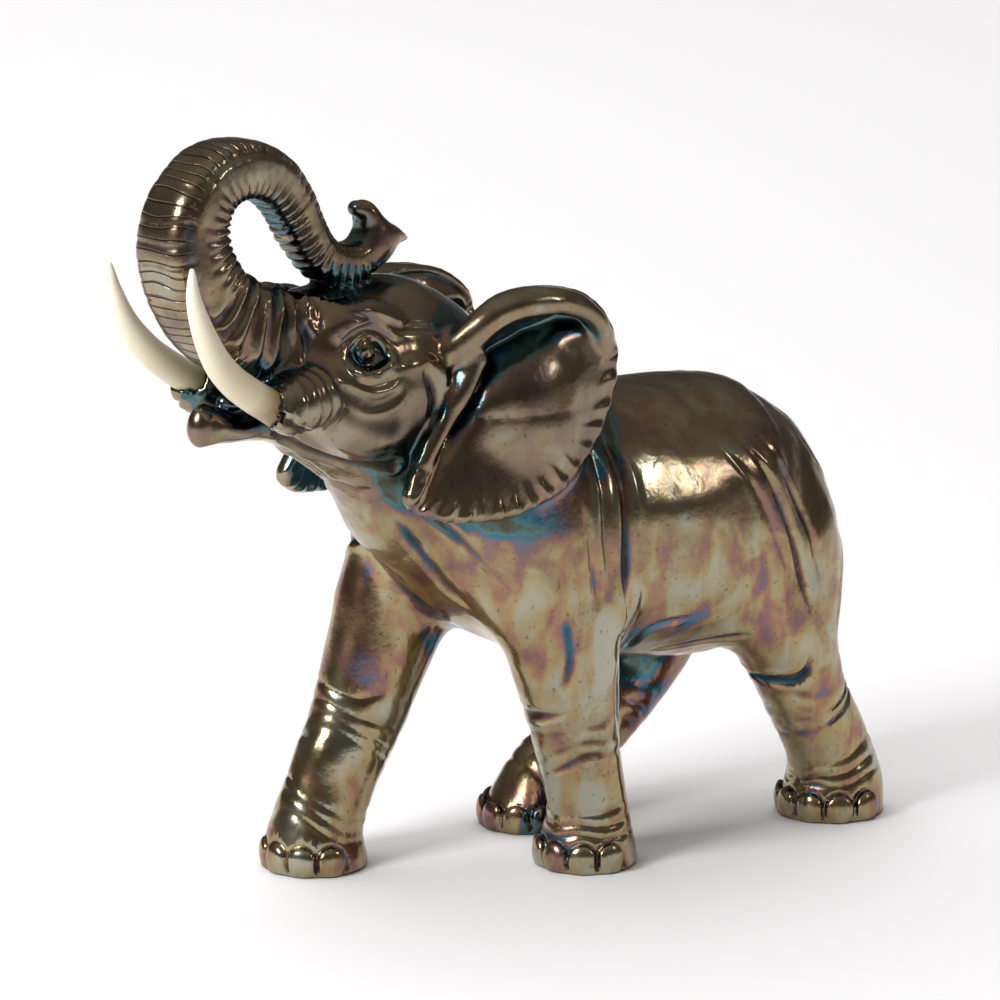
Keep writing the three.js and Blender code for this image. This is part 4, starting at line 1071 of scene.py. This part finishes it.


# Silver laminate over a cast core, burnished and then fumed, so that its tarnish has gone through the
# colours of a thin film: straw, rose, violet, blue and a grey green, darkest brown in the grooves. Painted
# shade is laid over it: a dark grey in the hollows, near black in the grooves, the deepest places and the
# cuts.
def tarnished_silver():
    material, tree, surface = new_material("fumed_silver_laminate")
    where = node(tree, "ShaderNodeTexCoord", out="Object")
    groove, crevice, hollow, rings, ring_share, from_pupil = (
        node(tree, "ShaderNodeAttribute", out="Fac", attribute_name=name)
        for name in ("groove", "crevice", "hollow", "rings", "ring_share", "from_pupil")
    )
    height = node(tree, "ShaderNodeSeparateXYZ", [where], "Z")
    tall = node(tree, "ShaderNodeVectorMath", [where, (1, 1, 0.4)], operation="MULTIPLY")
    # Patterns by the size of their lumps in mm: the colour fields of the tarnish, patches in them, runs
    # down the legs, specks, and the unevenness of the hand-worked skin.
    broad, patches, runs, specks, dents, pits = (
        node(
            tree, "ShaderNodeTexNoise",
            {"Vector": space, "Scale": PER_METRE / lump, "Detail": detail, "Distortion": warp},
        )
        for space, lump, detail, warp in (
            (where, 46, 3, 1.0), (where, 17, 4, 0.8), (tall, 9, 4, 0.5),
            (where, 2.0, 3, 0.0), (where, 3.4, 3, 0.0), (where, 0.9, 2, 0.0),
        )
    )

    # How thick the film is, from thin straw to thick green.
    film = node(tree, "ShaderNodeMapRange", [broad, 0.3, 0.7, -0.02, 0.36])
    film = joined(tree, film, "ADD", [
        (patches, 0.3, 0.7, -0.08, 0.12), (runs, 0.35, 0.65, -0.09, 0.13),
        (hollow, 0.2, 0.6, 0.0, 0.44), (groove, 0.1, 0.9, 0.0, 0.3),
    ])
    film_colour = node(
        tree, "ShaderNodeValToRGB", [film],
        stops=(
            (0.0, "#A4A290"), (1.0, "#4C443A"), (0.2, "#A18F68"), (0.32, "#9A7660"), (0.4, "#87666A"),
            (0.46, "#627088"), (0.56, "#35788F"), (0.68, "#5F8A86"), (0.82, "#5E5848"),
        ),
    )

    # The back, the brow and the flat of the ears are an even brown; limbs and hollows are bright.
    even = joined(tree, 0.0, "ADD", [
        (height, 0.085, 0.165, 0.0, 0.88), (patches, 0.35, 0.65, -0.28, 0.22),
        (height, 0.162, 0.185, 0.0, -0.2),
    ])
    even = joined(tree, even, "MULTIPLY", [(hollow, 0.2, 0.6, 1.0, 0.15)])
    brown = joined(tree, 0.0, "ADD", [(broad, 0.3, 0.7, 0.0, 1.0)])
    brown = node(
        tree, "ShaderNodeMix", {0: brown, 6: linear("#8A7D68"), 7: linear("#74665A")}, 2, data_type="RGBA"
    )
    colour = node(tree, "ShaderNodeMix", {0: even, 6: film_colour, 7: brown}, 2, data_type="RGBA")

    # The cuts between the trunk's rings, where the count of rings is near a half, and the iris's edge.
    turn = node(tree, "ShaderNodeMath", [rings], operation="FRACT")
    turn = node(tree, "ShaderNodeMath", [turn, 0.5], operation="SUBTRACT")
    turn = node(tree, "ShaderNodeMath", [turn], operation="ABSOLUTE")
    cut = joined(tree, ring_share, "MULTIPLY", [(turn, 0.03, 0.11, 1.0, 0.0)])
    iris = node(tree, "ShaderNodeMath", [from_pupil, 2.2], operation="SUBTRACT")
    iris = node(tree, "ShaderNodeMath", [iris], operation="ABSOLUTE")

    # Rose where the film has lifted low on the legs, brown specks all over, painted shade wherever a form
    # turns in, and near-black painted shade in the grooves, the deepest places and the cuts, the same dark
    # giving the pupil and the iris's edge.
    lifted = joined(tree, 1.0, "MULTIPLY", [
        (specks, 0.5, 0.62, 0.0, 0.5), (patches, 0.5, 0.66, 0.0, 1.0), (height, 0.13, 0.09, 0.0, 1.0),
    ])
    speck = joined(tree, 0.0, "ADD", [(specks, 0.36, 0.3, 0.0, 0.5)])
    # Painted shade: dark grey laid where the forms around shut a point in.
    shade = joined(tree, 0.0, "ADD", [(hollow, 0.25, 0.65, 0.0, 0.4)])
    # Painted shade: near black in the grooves, the deepest places and the trunk's cuts; the pupil and the
    # iris's edge are the eye's own dark.
    dark = node(tree, "ShaderNodeMath", [cut, 0.8], operation="MULTIPLY")
    dark = joined(tree, dark, "MAXIMUM", [
        (groove, 0.25, 1.2, 0.0, 0.88), (crevice, 0.35, 0.95, 0.0, 0.78),
        (from_pupil, 1.1, 0.8, 0.0, 0.9), (iris, 0.5, 0.2, 0.0, 0.85),
    ])
    # 2B2F30 is the painted shade of the hollows; #211D1C is the near-black painted shade and the eye's dark.
    for share, stain in ((lifted, "#7D5560"), (speck, "#4A3F36"), (shade, "#2B2F30"), (dark, "#211D1C")):
        colour = node(
            tree, "ShaderNodeMix", {0: share, 6: colour, 7: linear(stain)}, 2, data_type="RGBA"
        )
    tree.links.new(colour, surface.inputs["Base Color"])
    surface.inputs["Metallic"].default_value = 1.0
    rough = joined(tree, 0.0, "ADD", [(patches, 0.3, 0.7, 0.15, 0.26), (groove, 0.2, 1.0, 0.0, 0.2)])
    tree.links.new(rough, surface.inputs["Roughness"])

    # Metres of height: dents, fine pits and the cut rings.
    uneven = 0.0
    for pattern, depth in ((dents, 0.00011), (pits, 0.00002), (cut, -0.00035)):
        part = node(tree, "ShaderNodeMath", [pattern, depth], operation="MULTIPLY")
        uneven = node(tree, "ShaderNodeMath", [uneven, part], operation="ADD")
    facing = node(tree, "ShaderNodeBump", {"Height": uneven, "Strength": 1.0, "Distance": 1.0})
    tree.links.new(facing, surface.inputs["Normal"])
    return material


# Cast resin dyed to the cream of ivory and polished: pale at the tip, darker and yellower towards
# the socket.
def ivory_resin():
    material, tree, surface = new_material("ivory_cast_resin")
    where = node(tree, "ShaderNodeTexCoord", out="Object")
    along = node(tree, "ShaderNodeAttribute", out="Fac", attribute_name="from_root")
    stain, ripples = (
        node(tree, "ShaderNodeTexNoise", {"Vector": where, "Scale": PER_METRE / lump, "Detail": detail})
        for lump, detail in ((9, 3), (2.5, 2))
    )
    colour = node(
        tree, "ShaderNodeValToRGB", [along],
        stops=((0.0, "#6E5D40"), (1.0, "#F0E9D8"), (0.15, "#9C885E"), (0.25, "#DACDAC"), (0.7, "#E8DFC8")),
    )
    part = joined(tree, 0.0, "ADD", [(stain, 0.45, 0.75, 0.0, 0.2)])
    colour = node(tree, "ShaderNodeMix", {0: part, 6: colour, 7: linear("#D3C49E")}, 2, data_type="RGBA")
    tree.links.new(colour, surface.inputs["Base Color"])
    rough = joined(tree, 0.0, "ADD", [(stain, 0.3, 0.7, 0.28, 0.4)])
    tree.links.new(rough, surface.inputs["Roughness"])
    surface.inputs["IOR"].default_value = 1.52
    surface.inputs["Subsurface Weight"].default_value = 0.12
    surface.inputs["Subsurface Radius"].default_value = (0.003, 0.002, 0.001)
    facing = node(tree, "ShaderNodeBump", {"Height": ripples, "Strength": 0.1, "Distance": 0.0002})
    tree.links.new(facing, surface.inputs["Normal"])
    return material


# Matt white paper of a photographer's sweep.
def white_paper():
    material, tree, surface = new_material("white_matt_paper")
    surface.inputs["Base Color"].default_value = linear("#E1E1E3")
    surface.inputs["Roughness"].default_value = 0.75
    surface.inputs["Specular IOR Level"].default_value = 0.2
    return material


elephant.data.materials.append(tarnished_silver())
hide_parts("elephant")
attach(elephant, "root")
ivory = ivory_resin()
for side, tusk in tusks.items():
    tusk.data.materials.append(ivory)
    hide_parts("tusk_" + side)
    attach(tusk, "root")

# The floor: one wide disc, which fills the view behind the figure too.
FLOOR_RADIUS, FLOOR_SIDES, FLOOR_DROP = 7, 64, 0.0002  # m; it lies just below the soles
turn = np.arange(FLOOR_SIDES) * 2 * math.pi / FLOOR_SIDES
disc = [FLOOR_RADIUS * np.cos(turn), FLOOR_RADIUS * np.sin(turn), np.full(FLOOR_SIDES, -FLOOR_DROP)]
floor = to_mesh("floor", np.column_stack(disc), np.arange(FLOOR_SIDES)[None, :])
floor.data.materials.append(white_paper())


# The studio: a dark ceiling over pale walls, and soft boxes.
def studio_world():
    world = bpy.data.worlds.new("studio")
    world.use_nodes = True
    tree = world.node_tree
    way = node(tree, "ShaderNodeTexCoord", out="Generated")
    up = node(tree, "ShaderNodeSeparateXYZ", [way], "Z")
    light = node(
        tree, "ShaderNodeValToRGB", [up],
        stops=((0.0, "#A9A7A5"), (1.0, "#9B958E"), (0.1, "#5E5A56"), (0.35, "#5C5853"), (0.8, "#918B84")),
    )
    background = tree.nodes["Background"]
    tree.links.new(light, background.inputs["Color"])
    background.inputs["Strength"].default_value = 1.0
    bpy.context.scene.world = world


def aim(thing, place, target):
    thing.location = place
    thing.rotation_mode = "QUATERNION"
    thing.rotation_quaternion = (Vector(target) - Vector(place)).to_track_quat("-Z", "Y")


def soft_box(name, place, target, width, height, power, shines=True):
    """A white area light in metres and watts, which may be kept from making highlights."""
    lamp = bpy.data.lights.new(name, "AREA")
    lamp.shape, lamp.size, lamp.size_y = "RECTANGLE", width, height
    lamp.energy = power
    thing = linked(name, lamp)
    thing.visible_glossy = shines
    aim(thing, place, target)


# The camera stands in front of the figure's left side, a little above it.
AZIMUTH, ELEVATION = math.radians(54), math.radians(13)
DISTANCE = 1800  # mm
PER_MM = 2.96  # pixels of the view for each mm at the target
VIEW = 1000  # pixels across
AIM = (-62, 339)  # pixels right of and above the origin, where the middle of the view is
SENSOR = 36  # mm
level = np.array([math.sin(AZIMUTH), -math.cos(AZIMUTH), 0])  # from the figure towards the camera
back = level * math.cos(ELEVATION) + np.array([0, 0, math.sin(ELEVATION)])
right = np.array([math.cos(AZIMUTH), math.sin(AZIMUTH), 0])
above = np.cross(back, right)
target = right * (AIM[0] / PER_MM) + above * (AIM[1] / PER_MM) + SHIFT
eye = target + back * DISTANCE


def studio_point(away, sideways, up):
    """A point in metres: away from the figure towards the camera, to its right, and up."""
    return Vector(level * away + right * sideways) + Vector((0, 0, up))


studio_world()
centre = (0, 0, 0.12)
soft_box("key_box", studio_point(1.0, -1.2, 1.1), centre, 0.55, 0.55, 28)
soft_box("side_box", studio_point(0.36, 1.26, 0.8), centre, 0.14, 0.22, 1.3)
# The washes light the paper and make no highlight on the metal.
behind = studio_point(-1.8, 0, 0)
soft_box("floor_wash", studio_point(-1.9, -0.6, 2.4), behind, 4.2, 4.2, 120, shines=False)
soft_box("front_wash", studio_point(0.9, -0.6, 1.6), centre, 1.2, 1.2, 6, shines=False)

lens = bpy.data.cameras.new("camera")
lens.sensor_width = SENSOR
lens.lens = SENSOR * PER_MM * DISTANCE / VIEW
lens.clip_start, lens.clip_end = 0.1, 30
camera = linked("camera", lens)
aim(camera, Vector(eye / PER_METRE), Vector(target / PER_METRE))
bpy.context.scene.camera = camera
bpy.context.scene.view_settings.view_transform = "Standard"
